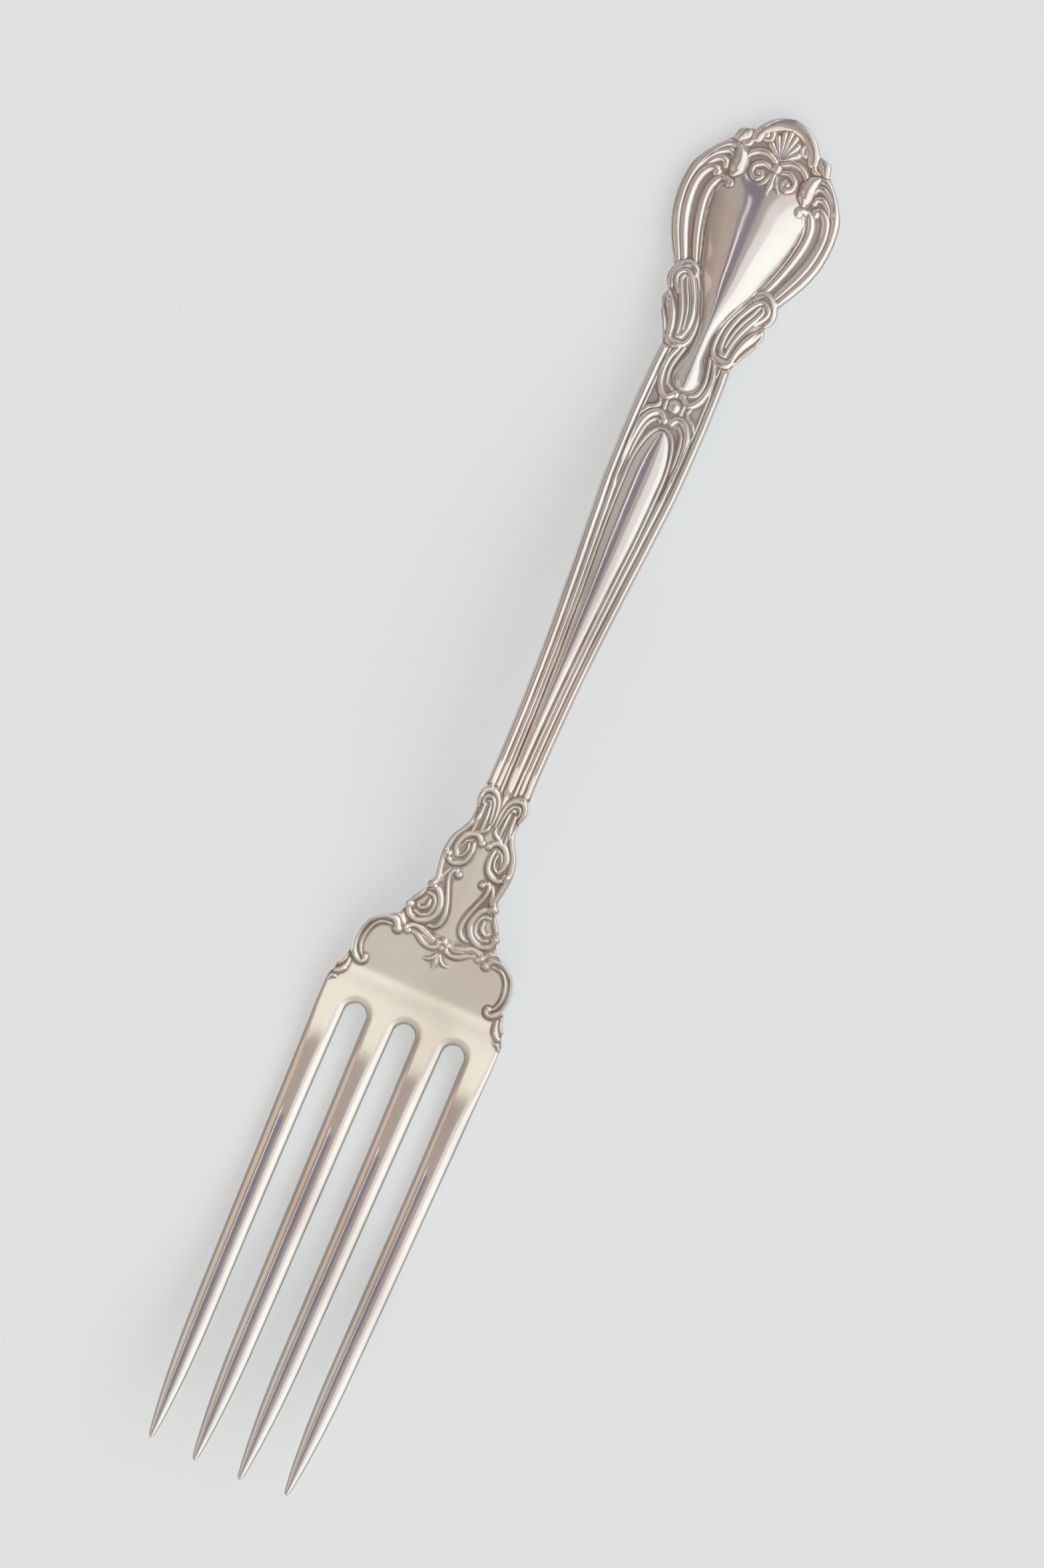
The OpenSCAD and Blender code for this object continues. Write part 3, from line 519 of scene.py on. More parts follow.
stroke(
    [(4.5, 148.2), (4.1, 147.6), (3.9, 146.8), (3.95, 146.0), (4.1, 145.3)],
    [0.34, 0.66, 0.8, 0.74, 0.38], [0.46, 0.76, 0.86, 0.8, 0.46],
)
stroke(
    [(7.75, 143.9), (7.3, 145.5), (6.4, 146.8), (5.4, 147.45), (4.75, 147.2), (4.6, 146.7)],
    [0.16, 0.3, 0.34, 0.34, 0.26], [0.1, 0.32, 0.36, 0.36, 0.26],
)
stroke(
    [(7.2, 144.6), (6.6, 145.75), (5.85, 146.35), (5.2, 146.2), (5.05, 145.75)],
    [0.16, 0.28, 0.3, 0.26], [0.14, 0.3, 0.34, 0.26],
)
stroke([(0.0, 146.8), (0.0, 145.6), (0.0, 144.5)], [0.22, 0.36, 0.08], [0.26, 0.36, 0.06], both=False)
stroke([(0.3, 146.7), (0.65, 145.8), (1.15, 145.15)], [0.18, 0.26, 0.07], [0.2, 0.3, 0.05])

# Long border of the arched panel on the stem, which rounds off in a half ellipse
PANEL_ARCH = 112.0
PANEL = [
    (STEM, 0.54), (80.0, 0.58), (85.0, 0.68), (90.0, 0.86), (99.0, 1.3), (107.0, 1.75), (PANEL_ARCH, 1.86),
]
PANEL_RISE = 5.2
BORDER_HALF = 1.98
BORDER_RISE = 5.3
BORDER_STATIONS = (76.0, 80.0, 85.0, 90.0, 94.0, 98.0, 102.0, 106.0, 109.0, 111.0)


def border_side(s):
    return float(curve(PANEL, s) + mix(0.2, 0.13, ease(80.0, 98.0, s))), s


def border_arch(degrees):
    a = math.radians(degrees)
    return BORDER_HALF * math.cos(a) ** 0.8, PANEL_ARCH + BORDER_RISE * math.sin(a)


border = [border_side(s) for s in BORDER_STATIONS]
border += [border_arch(a) for a in range(0, 90, 15)]
border.append((0.0, 117.35))
stroke(border, [0.16, 0.17, 0.18, 0.2, 0.2, 0.2], [0.14, 0.16, 0.18, 0.22, 0.24, 0.24])

# Outline of the plate, widened wherever a stroke reaches past it
HOOD_START = 150.3
OUTLINE = [
    (ROOT, 10.0), (51.0, 9.95), (52.4, 9.45), (53.8, 8.8), (56.3, 8.6), (58.4, 8.05), (59.4, 7.1),
    (60.2, 5.7), (61.8, 4.75), (63.2, 3.9), (64.8, 3.65), (66.5, 3.9), (68.0, 4.06), (69.8, 3.8),
    (71.4, 2.95), (72.6, 2.52), (74.0, 2.42), (STEM, 2.45), (79.0, 2.42), (85.0, 2.5), (92.0, 2.76),
    (99.0, 3.2), (106.0, 3.72), (112.0, 4.08), (118.0, 4.16), (123.0, 4.08), (126.0, 3.95), (128.5, 4.2),
    (131.0, 5.1), (134.0, 6.0), (136.0, 7.1), (138.0, 8.0), (140.0, 8.55), (142.2, 8.74), (144.2, 8.58),
    (146.0, 7.9), (147.5, 6.85), (148.8, 5.6), (149.6, 4.6), (HOOD_START, 3.85),
]
# Strokes make the edge where they come this near to it, with this share of their radius
EDGE_STROKE_FROM = 1.5
EDGE_STROKE_NEAR = 0.3
EDGE_STROKE_SHARE = 0.97
EDGE_BLUR = 2.2
BLURRED = (49.0, 151.5)
CALM_BLUR = 20.0
CALM_END = (150.8, 151.6)


def hood_edge(s):
    return HOOD_RADIUS * np.sqrt(np.clip(1.0 - ((s - HOOD_CENTRE) / HOOD_RADIUS) ** 2, 0.0006, 1.0))


def make_outline():
    """Half width along the fork, with the plate, the hood and the strokes that make the edge."""
    w = np.where(FINE > HOOD_START, hood_edge(FINE), curve(OUTLINE, FINE))
    w = np.where((FINE > HOOD_CENTRE) & (FINE <= HOOD_START), np.maximum(w, hood_edge(FINE)), w)
    grown = w.copy()
    for path, r, _, _, _ in strokes:
        for (x, s), radius in zip(path, r):
            if x < EDGE_STROKE_FROM or x + radius < np.interp(s, FINE, w) - EDGE_STROKE_NEAR:
                continue
            reach = radius * EDGE_STROKE_SHARE
            i = np.nonzero(np.abs(FINE - s) < reach)[0]
            grown[i] = np.maximum(grown[i], x + np.sqrt(reach**2 - (FINE[i] - s) ** 2))
    soft = blur(grown, EDGE_BLUR, 0)
    return np.where((FINE < BLURRED[0]) | (FINE > BLURRED[1]), grown, soft)


plate_line = curve(OUTLINE, FINE)
outline_line = make_outline()
calm_line = mix(blur(outline_line, CALM_BLUR, 0), outline_line, ease(*CALM_END, FINE))


def outline(s):
    """Half width of the fork, carved edge included."""
    return np.interp(s, FINE, outline_line)


def plate(s):
    """Half width of the plain plate, from which rims and reeds are measured."""
    return np.interp(s, FINE, plate_line)


# Half width of the smooth field of the cartouche
FIELD_FOOT = 123.4
FIELD = [
    (FIELD_FOOT, 1.6), (124.6, 1.4), (126.2, 1.0), (128.0, 0.92), (129.5, 1.12), (131.0, 1.65), (132.6, 2.3),
    (134.3, 3.1), (136.0, 3.62), (138.0, 4.25), (140.0, 4.75), (141.8, 4.98), (143.4, 5.0), (144.6, 4.7),
    (145.5, 4.1), (146.2, 3.2), (146.8, 1.9), (147.2, 0.1),
]
FIELD_START = 121.7
FIELD_END = 147.1
FIELD_ROUND = 1.65
FIELD_STEP = 0.06
FIELD_POWER = 0.85
# Rise of the field over its ground: at the bulb, at the waist, and what the swelling adds
BULB_RISE = 0.5
WAIST_RISE = 0.42
SWELL_RISE = 0.55
BULB_ENDS = (124.0, 128.0)
SWELLS = (129.0, 139.0)
BROW = (141.8, 147.4)

# Ground of the carving and grooves of the stem, below the face
GROUND = -0.2
GROOVE = GROUND - 0.02
STEM_STARTS = (75.7, 76.6)
CARTOUCHE_STARTS = (125.3, 126.1)

# Neck. A rim or reed is given by its middle, counted from the edge, its half width and its height.
FOOT_MIDDLE = 58.95
FOOT_SIDE = 60.0
FOOT_TURNS = (4.0, 5.2)
FOOT_RUN = 0.8
ROOF_HEIGHT = 0.16
ROOF_HALF = 1.7
ROOF_ENDS = (72.0, 75.0)
NECK_RIM = (0.42, 0.46, 0.19)
NECK_RIM_STARTS = (63.4, 64.8)
NECK_RIM_ENDS = (71.8, 73.2)

# Stem: rim and reed at the narrow and at the wide end, a thin reed that moves out, and the panel
STEM_WIDENS = (78.0, PANEL_ARCH)
RIM = ((0.5, 0.44, 0.13), (0.52, 0.48, 0.13))
REED = ((1.2, 0.28, 0.075), (1.36, 0.34, 0.09))
REED_ENDS = (111.0, 114.0)
THIN_REED_MIDDLES = (1.5, 1.14)
THIN_REED_HALF = 0.15
THIN_REED_HEIGHT = 0.06
THIN_REED_MOVES = (104.0, 114.0)
THIN_REED_STARTS = (106.0, 113.0)
PANEL_STEP = 0.12
PANEL_DOME = 0.1
PANEL_DOME_GAIN = 0.045


def ridge(e, centre, half, top, power=1.0):
    """Rounded ridge across the distance from the edge."""
    return top * unit(1.0 - ((e - centre) / half) ** 2) ** power


def neck_level(A, E, S):
    """Ground of the palm and neck: a low roof along the middle and a rim along the edge."""
    foot = mix(FOOT_MIDDLE, FOOT_SIDE, ease(*FOOT_TURNS, A))
    on_neck = ease(foot, foot + FOOT_RUN, S)
    slope = unit(1.0 - np.hypot(A, 0.04) / ROOF_HALF)
    roof = ROOF_HEIGHT * slope * (1.0 - ease(*ROOF_ENDS, S))
    rim_on = ease(*NECK_RIM_STARTS, S) * (1.0 - ease(*NECK_RIM_ENDS, S))
    rim = GROUND + ridge(E, *NECK_RIM, power=0.8) * rim_on
    return np.maximum((GROUND + roof) * on_neck, rim)


def reed(E, ends, share):
    """A reed that changes from its narrow to its wide form along the stem."""
    middle, half, top = (mix(a, b, share) for a, b in zip(*ends))
    return GROOVE + ridge(E, middle, half, top)


def stem_level(A, E, S):
    """Rims, reeds and grooves of the stem, with the arched panel between them."""
    wide = ease(*STEM_WIDENS, S)
    rim = reed(E, RIM, wide)
    second = mix(reed(E, REED, wide), GROOVE, ease(*REED_ENDS, S))
    middle = mix(*THIN_REED_MIDDLES, ease(*THIN_REED_MOVES, S))
    thin = GROOVE + ridge(E, middle, THIN_REED_HALF, THIN_REED_HEIGHT * ease(*THIN_REED_STARTS, S))
    reeds = np.maximum(np.maximum(rim, second), np.maximum(thin, GROOVE))
    up = unit((S - PANEL_ARCH) / PANEL_RISE)
    half = curve(PANEL, S) * np.sqrt(unit(1.0 - up**2)) + 1e-4
    crown = unit(1.0 - (A / half) ** 2)
    dome = (PANEL_DOME + PANEL_DOME_GAIN * half) * crown * ease(0.05, 0.6, half)
    panel = GROOVE + PANEL_STEP * ease(0.0, 0.2, half - A) * ease(0.05, 0.4, half) + dome
    return np.where(A < half, np.maximum(reeds, panel), reeds)


def field_level(A, S, level):
    """The smooth field that swells out of the cartouche, where it stands over the level given."""
    short = np.clip(FIELD_FOOT - S, 0.0, FIELD_ROUND) / FIELD_ROUND
    foot = np.sqrt(np.clip(1.0 - short**2, 1e-6, 1.0))
    half = curve(FIELD, S) * foot
    brow = 1.0 - ease(*BROW, S)
    rise = mix(BULB_RISE, WAIST_RISE, ease(*BULB_ENDS, S)) + SWELL_RISE * ease(*SWELLS, S)
    crown = unit(1.0 - (A / half) ** 2) ** FIELD_POWER
    field = GROUND + FIELD_STEP * foot * brow + rise * foot * brow * crown
    inside = (A < half) & (S > FIELD_START) & (S < FIELD_END)
    return np.where(inside, np.maximum(level, field), level)


def ground(X, S):
    """Relief of the plain forms, measured from the face: keel, rims, reeds, panel and field."""
    A = np.abs(X)
    E = plate(S) - A
    carved = ease(*CARTOUCHE_STARTS, S)
    reeds_on = ease(*STEM_STARTS, S) * (1.0 - carved)
    level = mix(neck_level(A, E, S), stem_level(A, E, S), reeds_on)
    return field_level(A, S, mix(level, GROUND, carved))


def heights(X, S):
    """All relief over the face: plain forms, then low bodies, then carved ridges."""
    return ground(X, S) + add_strokes(X, S, "body") + add_strokes(X, S, "ridge")


# Map of how deep each place of the carving lies, on a square grid
CELL = 0.05
WIDE_REACH = 0.28
WIDE_SHARE = 0.55
LINE_REACH = 0.11
LINE_SHARE = 1.5
RELIEF_BLUR = 0.7
map_x = np.arange(-HEAD_WIDTH / 2, HEAD_WIDTH / 2 + CELL, CELL)
map_s = np.arange(ROOT, LENGTH + CELL, CELL)


def blur_both(a, sigma):
    return blur(blur(a, sigma, 0), sigma, 1)


def make_depth_map():
    """How deep each place lies below what surrounds it, in millimetres, with fine lines brought out."""
    H = heights(*np.meshgrid(map_x, map_s))
    wide = blur_both(H, WIDE_REACH / CELL) - H
    fine = blur_both(H, LINE_REACH / CELL) - H
    return WIDE_SHARE * wide + LINE_SHARE * fine


depth_map = make_depth_map()


def depth_at(X, S):
    """The depth map at any points, read between its cells."""
    u = np.clip((X - map_x[0]) / CELL, 0.0, len(map_x) - 1.001)
    v = np.clip((S - map_s[0]) / CELL, 0.0, len(map_s) - 1.001)
    i, j = v.astype(int), u.astype(int)
    a, b = v - i, u - j
    low = mix(depth_map[i, j], depth_map[i, j + 1], b)
    return mix(low, mix(depth_map[i + 1, j], depth_map[i + 1, j + 1], b), a)


def relief(X, S):
    """Height of the carving over the face, and how deep each point lies among its neighbours."""
    return blur_both(heights(X, S), RELIEF_BLUR), depth_at(X, S)


# Widths along an edge over which the carving fades out and patina wears off, to this share
CARVING_FADES = (0.0, 0.3)
PATINA_FADES = (0.05, 0.5)
EDGE_PATINA = 0.5


def settle(H, deep, d):
    """Fades the carving out at the edge, d millimetres away, and wears part of the patina off there."""
    return H * ease(*CARVING_FADES, d), deep * mix(EDGE_PATINA, 1.0, ease(*PATINA_FADES, d))


SATIN_STARTS = (38.0, 52.0)
SATIN_HALVES = (57.0, 60.0)
SATIN_ENDS = (64.0, 76.0)


def satin_at(s):
    """Brushed palm, half brushed neck, bright tines and handle."""
    return ease(*SATIN_STARTS, s) * (1.0 - 0.5 * ease(*SATIN_HALVES, s)) * (1.0 - ease(*SATIN_ENDS, s))


# Edges: shares of the thickness that the top and the back give up to their rounding
TOP_SHARE = 0.28
BACK_SHARE = 0.34
TINE_EDGE = 2.4
PALM_EDGE = 6.0
SLOT_EDGE = 3.2
PLATE_EDGE = 2.1
PLATE_EDGE_WIDTH = 0.34
TINES_TO_PALM = (41.0, 52.0)
PALM_TO_PLATE = (52.0, 59.0)
BACK_CORNER = 0.9
BACK_SWELL = 0.12


def edge_drop(d, s, palm=PALM_EDGE):
    """Rounding towards an edge from 0 to 1: a full crown on the tines, a soft edge elsewhere."""
    plain = ease(*PALM_TO_PLATE, s)
    n = mix(mix(TINE_EDGE, palm, ease(*TINES_TO_PALM, s)), PLATE_EDGE, plain)
    a = mix(CROWN, PLATE_EDGE_WIDTH, plain)
    t = unit(1.0 - d / a)
    return 1.0 - (1.0 - unit(t**n)) ** (1.0 / n)


def tine_back(t):
    """Roundness of the back of a tine from 0 in the middle, where t is 0, to 1 at the edge."""
    return 1.0 - (1.0 - t**4.0) ** 0.25


def back_lift(X, w):
    """Roundness of the back of the handle, as a share of the thickness."""
    d = np.clip(w - np.abs(X), 0.0, None)
    corner = 1.0 - np.sqrt(unit(1.0 - unit(1.0 - d / BACK_CORNER) ** 2))
    return BACK_SWELL * (np.abs(X) / w) ** 2 * ease(1.5, 4.0, w) + BACK_SHARE * corner


def to_points(X, S, Z):
    """Points in metres in the frame of the part."""
    return np.stack([X, S - LENGTH / 2, Z], axis=-1) * MM


# Meshes
skins = []
SEAM_GRID = 2e-7


def add_object(name, data):
    obj = bpy.data.objects.new(name, data)
    bpy.context.scene.collection.objects.link(obj)
    return obj


def make_piece(name, points, faces, flat_faces, cavity, satin):
    """A silver piece for the node of that name. cavity and satin are values for its material."""
    mesh = bpy.data.meshes.new(name)
    mesh.from_pydata(points.tolist(), [], faces)
    mesh.update()
    smooth = np.ones(len(faces), bool)
    smooth[flat_faces] = False
    mesh.polygons.foreach_set("use_smooth", smooth)
    for label, values in (("cavity", cavity), ("satin", satin)):
        layer = mesh.attributes.new(label, "FLOAT", "POINT")
        layer.data.foreach_set("value", np.asarray(values, np.float32))
    obj = add_object("silver_" + name, mesh)
    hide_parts(name)
    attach(obj, "root")
    skin = np.array([f for f, soft in zip(faces, smooth) if soft and len(f) == 4])
    skins.append((obj, points, skin))
    return obj


def join_normals():
    """Gives vertices that two pieces share one normal, so that the polish runs on over the seam."""
    total = {}
    found = []
    for obj, points, skin in skins:
        p = points[skin]
        facing = np.cross(p[:, 2] - p[:, 0], p[:, 3] - p[:, 1])
        normal = np.zeros_like(points)
        for corner in range(4):
            np.add.at(normal, skin[:, corner], facing)
        keys = [tuple(k) for k in np.round(points / SEAM_GRID).astype(int)]
        for key, n in zip(keys, normal):
            total[key] = total.get(key, 0.0) + n
        found.append(keys)
    for (obj, _, _), keys in zip(skins, found):
        normal = np.array([total[k] for k in keys])
        size = np.linalg.norm(normal, axis=1, keepdims=True)
        obj.data.normals_split_custom_set_from_vertices(normal / np.maximum(size, 1e-20))


def ring_piece(name, rings, cavity, satin, round_end=None):
    """Closed skin over rows of rings. round_end names the end whose cap is shaded smooth."""
    rows, n = rings.shape[:2]
    i = np.arange(rows - 1)[:, None] * n
    j = np.arange(n)[None, :]
    k = (j + 1) % n
    quads = np.stack([i + j, i + k, i + n + k, i + n + j], axis=-1).reshape(-1, 4)
    faces = quads.tolist()
    first = list(range(n - 1, -1, -1))
    last = [(rows - 1) * n + c for c in range(n)]
    faces += [first, last]
    flat = [len(faces) - 2, len(faces) - 1]
    if round_end == "first":
        flat = flat[1:]
    if round_end == "last":
        flat = flat[:1]
    return make_piece(name, rings.reshape(-1, 3), faces, flat, cavity.ravel(), satin.ravel())


def back_columns(w):
    """Places across the back from right to left, close together at the rounded corners."""
    r = np.minimum(BACK_CORNER, 0.5 * w)
    phi = np.radians(np.linspace(0, 75, CORNER_COLUMNS))
    right = w[:, None] - r[:, None] * (1 - np.cos(phi))[None, :]
    inner = np.linspace(1, -1, BACK_COLUMNS)[None, :] * (w - r)[:, None]
    return np.concatenate([right, inner, -right[:, ::-1]], axis=1)


def top_columns(w):
    """Places across the face from left to right, close together at the edges."""
    r = np.minimum(0.6, 0.5 * w)
    phi = np.linspace(0, np.pi / 2, EDGE_COLUMNS + 1)[:-1]
    edge = w[:, None] - r[:, None] * (1 - np.cos(phi))[None, :]
    inner = np.linspace(-1, 1, TOP_COLUMNS - 2 * EDGE_COLUMNS)[None, :] * (w - r)[:, None]
    return np.concatenate([-edge, inner, edge[:, ::-1]], axis=1)


def wall(X0, Z0, X1, Z1, steps):
    """Columns between two edges of a wall, without the edges."""
    u = np.arange(1, steps + 1) / (steps + 1)
    return X0[:, None] + (X1 - X0)[:, None] * u, Z0[:, None] + (Z1 - Z0)[:, None] * u


def close_rings(s, X, Z, XB, ZB, steps):
    """Rings of points over the face and the back, with a wall on each side, and their stations."""
    XR, ZR = wall(X[:, -1], Z[:, -1], XB[:, 0], ZB[:, 0], steps)
    XL, ZL = wall(XB[:, -1], ZB[:, -1], X[:, 0], Z[:, 0], steps)
    ring_x = np.concatenate([X, XR, XB, XL], axis=1)
    ring_z = np.concatenate([Z, ZR, ZB, ZL], axis=1)
    ring_s = np.repeat(s[:, None], ring_x.shape[1], axis=1)
    return to_points(ring_x, ring_s, ring_z), ring_s


def spaced(a, b, step):
    return np.linspace(a, b, int(round((b - a) / step)) + 1)


# Rounded end of the handle: its depth, the arc that its rows share, and its first angle
END_ROUND = 1.6
END_ARC = 2.4
END_GAP = 0.002
FIRST_ANGLE = 0.06
LEAD_IN = 0.4


def handle_rows():
    """Stations of the handle's rows: fine where it is carved, closer still at the rounded end."""
    angles = np.linspace(np.pi / 2, FIRST_ANGLE, int(END_ARC / ROW))
    tip = LENGTH - END_ROUND * (1.0 - np.cos(angles)) - END_GAP
    stops = [NECK - LEAD_IN, NECK, COLLAR, STEM, PANEL_ARCH, KNOT, CARTOUCHE, CREST, LENGTH - END_ROUND]
    runs = [spaced(a, b, PLAIN_ROW if a == STEM else ROW) for a, b in zip(stops[:-1], stops[1:])]
    return np.unique(np.round(np.concatenate(runs + [tip]), 5))


def build_handle():
    s = handle_rows()
    w = outline(s)
    calm = np.interp(s, FINE, calm_line)
    X = top_columns(calm)
    X = X + (w - calm)[:, None] * (X / calm[:, None]) ** 5
    S = np.repeat(s[:, None], X.shape[1], axis=1)
    T = thickness(s)[:, None]
    D = w[:, None] - np.abs(X)
    H, deep = settle(*relief(X, S), D)
    Z = face(S) + H - TOP_SHARE * T * edge_drop(D, S)
    XB = back_columns(w)
    ZB = under(s)[:, None] + back_lift(XB, w[:, None]) * T
    rings, ring_s = close_rings(s, X, Z, XB, ZB, steps=3)
    cavity = np.zeros(ring_s.shape)
    cavity[:, : X.shape[1]] = deep
    satin = satin_at(ring_s)
    names = ("neck", "collar", "stem", "knot", "cartouche", "crest")
    stops = (NECK, COLLAR, STEM, KNOT, CARTOUCHE, CREST, LENGTH)
    made = []
    for name, start, end in zip(names, stops[:-1], stops[1:]):
        rows = (s > start - ROW_SLACK) & (s < end + ROW_SLACK)
        round_end = "last" if name == "crest" else None
        made.append(ring_piece(name, rings[rows], cavity[rows], satin[rows], round_end))
    return made


def tine_middle(k, s):
    """Middle of a tine at a station; k is its place across the head."""
    return k * mix(TIP_SPREAD / 3, PITCH, unit(ease(-ROOT, ROOT, s) * 2 - 1))


# Half width of a tine
TINE_HALF = [
    (0.0, TINE_TIP_WIDTH / 2), (1.0, 0.45), (4.0, 0.8), (8.0, 1.1), (TINE_POINT, TINE_POINT_WIDTH / 2),
    (30.0, 1.43), (ROOT, TINE_ROOT_WIDTH / 2),
]
TINE_BLUR = 8.0
half_line = blur(curve(TINE_HALF, FINE), TINE_BLUR, 0)


def tine_half(s):
    return np.interp(s, FINE, half_line)


def tine_columns():
    """Places across a tine from -1 to 1, close together at the edges."""
    return np.sin(np.pi / 2 * np.linspace(-1, 1, TINE_COLUMNS))


def build_tine(name, k):
    start = TIP_SETBACK if abs(k) > 1 else 0.0
    tip = start + TIP_ROUND * (1.0 - np.cos(np.linspace(FIRST_ANGLE, np.pi / 2, 9)))
    s = np.concatenate([tip[:-1], spaced(start + TIP_ROUND, ROOT, PLAIN_ROW)])
    open_part = 1.0 - unit((s - start) / TIP_ROUND)
    shut = np.sqrt(unit(1.0 - open_part**2))
    half = tine_half(s - start * (1.0 - s / ROOT)) * shut * (CROWN / tine_half(ROOT))
    middle = tine_middle(k, s)
    t = tine_columns()
    X = middle[:, None] + half[:, None] * t[None, :]
    S = np.repeat(s[:, None], X.shape[1], axis=1)
    T = thickness(s)[:, None]
    low = under(S) + 0.5 * T * (1 - shut[:, None])
    T = T * shut[:, None]
    d = np.repeat((1.0 - np.abs(t))[None, :] * CROWN, len(s), axis=0)
    outer = (t * k > 0) & (abs(k) > 1)
    drop = np.where(outer[None, :], edge_drop(d, S), edge_drop(d, S, SLOT_EDGE))
    Z = low + T - TOP_SHARE * T * drop - (under(S) + thickness(S) - face(S))
    XB = X[:, ::-1]
    ZB = low[:, :1] + BACK_SHARE * T * tine_back(np.abs(t[::-1])[None, :])
    rings, ring_s = close_rings(s, X, Z, XB, ZB, steps=1)
    return ring_piece(name, rings, np.zeros(ring_s.shape), satin_at(ring_s), "first")


def head_columns():
    """Where each column of the palm ends: at the tine roots, or on a round slot end between them."""
    x = []
    end = []
    theta = np.pi * (1.0 - np.arange(1, SLOT_COLUMNS + 1) / (SLOT_COLUMNS + 1))
    for k in TINES.values():
        x += list(k * PITCH + TINE_ROOT_WIDTH / 2 * tine_columns())
        end += [ROOT] * TINE_COLUMNS
        if k < 1:
            x += list((k + 0.5) * PITCH + SLOT_RADIUS * np.cos(theta))
            end += list(ROOT + SLOT_RADIUS * np.sin(theta))
    return np.array(x), np.array(end)


# Station from which the head's rows bend down to the slot ends, and how they are spaced there
HEAD_SPLIT = 50.6
BENT_RUN = 5.0
BENT_POWER = 1.6
SPARE_ROWS = 5
HEAD_SPREADS = (53.2, 59.0)
HEAD_BACK_TURNS = (53.0, 59.5)


def head_grid():
    """Places of the palm's points across and along, half width there, and distance to the slots."""
    x_end, s_end = head_columns()
    spare = NECK + ROW * np.arange(1, SPARE_ROWS + 1)
    upper = np.concatenate([spaced(HEAD_SPLIT, NECK, ROW), spare])[::-1]
    v = 1.0 - (1.0 - np.linspace(0, 1, int(BENT_RUN / ROW))) ** BENT_POWER
    bent = HEAD_SPLIT + v[1:, None] * (s_end[None, :] - HEAD_SPLIT)
    S = np.concatenate([np.repeat(upper[:, None], len(x_end), axis=1), bent])
    w = outline(S)
    slot_x = x_end[None, :] * (w / outline(ROOT))
    neck_x = top_columns(np.maximum(w.min(axis=1), 1.0))
    neck_x = neck_x / neck_x.max(axis=1, keepdims=True) * w
    X = mix(slot_x, neck_x, ease(*HEAD_SPREADS, S))
    slot = np.full(X.shape, HEAD_WIDTH)
    for m in (-1, 0, 1):
        away = np.hypot(X - m * PITCH, np.maximum(S - ROOT, 0.0)) - SLOT_RADIUS
        slot = np.minimum(slot, np.clip(away, 0.0, None))
    slot[-1, s_end > ROOT] = 0.0
    return X, S, w, slot


def build_head():
    X, S, w, slot = head_grid()
    side = np.clip(w - np.abs(X), 0.0, None)
    d = np.minimum(side, slot)
    H, deep = settle(*relief(X, S), d)
    T = thickness(S)
    drop = np.maximum(edge_drop(side, S), edge_drop(slot, S, SLOT_EDGE))
    Z = face(S) + H - TOP_SHARE * T * drop
    palm_back = BACK_SHARE * tine_back(unit(1.0 - d / CROWN))
    ZB = under(S) + T * mix(palm_back, back_lift(X, w), ease(*HEAD_BACK_TURNS, S))
    keep = S[:, 0] < NECK + ROW_SLACK
    X, S, Z, ZB, deep = X[keep], S[keep], Z[keep], ZB[keep], deep[keep]
    top = to_points(X, S, Z)
    low = to_points(X, S, ZB)
    mid = (top + low) / 2
    rows, n = X.shape
    size = rows * n
    a = np.arange(rows - 1)[:, None] * n + np.arange(n - 1)[None, :]
    tops = np.stack([a, a + n, a + n + 1, a + 1], axis=-1).reshape(-1, 4)
    faces = tops.tolist() + (tops[:, ::-1] + size).tolist()
    left = np.arange(rows - 1) * n
    slots = (rows - 1) * n + np.arange(n - 1)
    right = np.arange(rows - 1, -1, -1) * n + n - 1
    loop = np.concatenate([left, slots, right])
    middle = 2 * size + np.arange(len(loop))
    points = np.concatenate([top.reshape(-1, 3), low.reshape(-1, 3), mid.reshape(-1, 3)[loop]])
    at_root = S.ravel()[loop] == ROOT
    inside = []
    for b in range(len(loop) - 1):
        if at_root[b] and at_root[b + 1]:
            inside += [len(faces), len(faces) + 1]
        faces.append([loop[b], middle[b], middle[b + 1], loop[b + 1]])
        faces.append([middle[b], loop[b] + size, loop[b + 1] + size, middle[b + 1]])
    across_top = list(range(n))
    across_back = [size + c for c in reversed(across_top)]
    faces.append(across_top + [middle[-1]] + across_back + [middle[0]])
    faces = [[int(c) for c in f] for f in faces]
    cavity = np.concatenate([deep.ravel(), np.zeros(size + len(loop))])
    polish = satin_at(S).ravel()
    satin = np.concatenate([polish, polish, polish[loop]])
    return make_piece("head", points, faces, inside + [len(faces) - 1], cavity, satin)


pieces = build_handle()
pieces.append(build_head())
for tine_name, place in TINES.items():
    pieces.append(build_tine(tine_name, place))
join_normals()


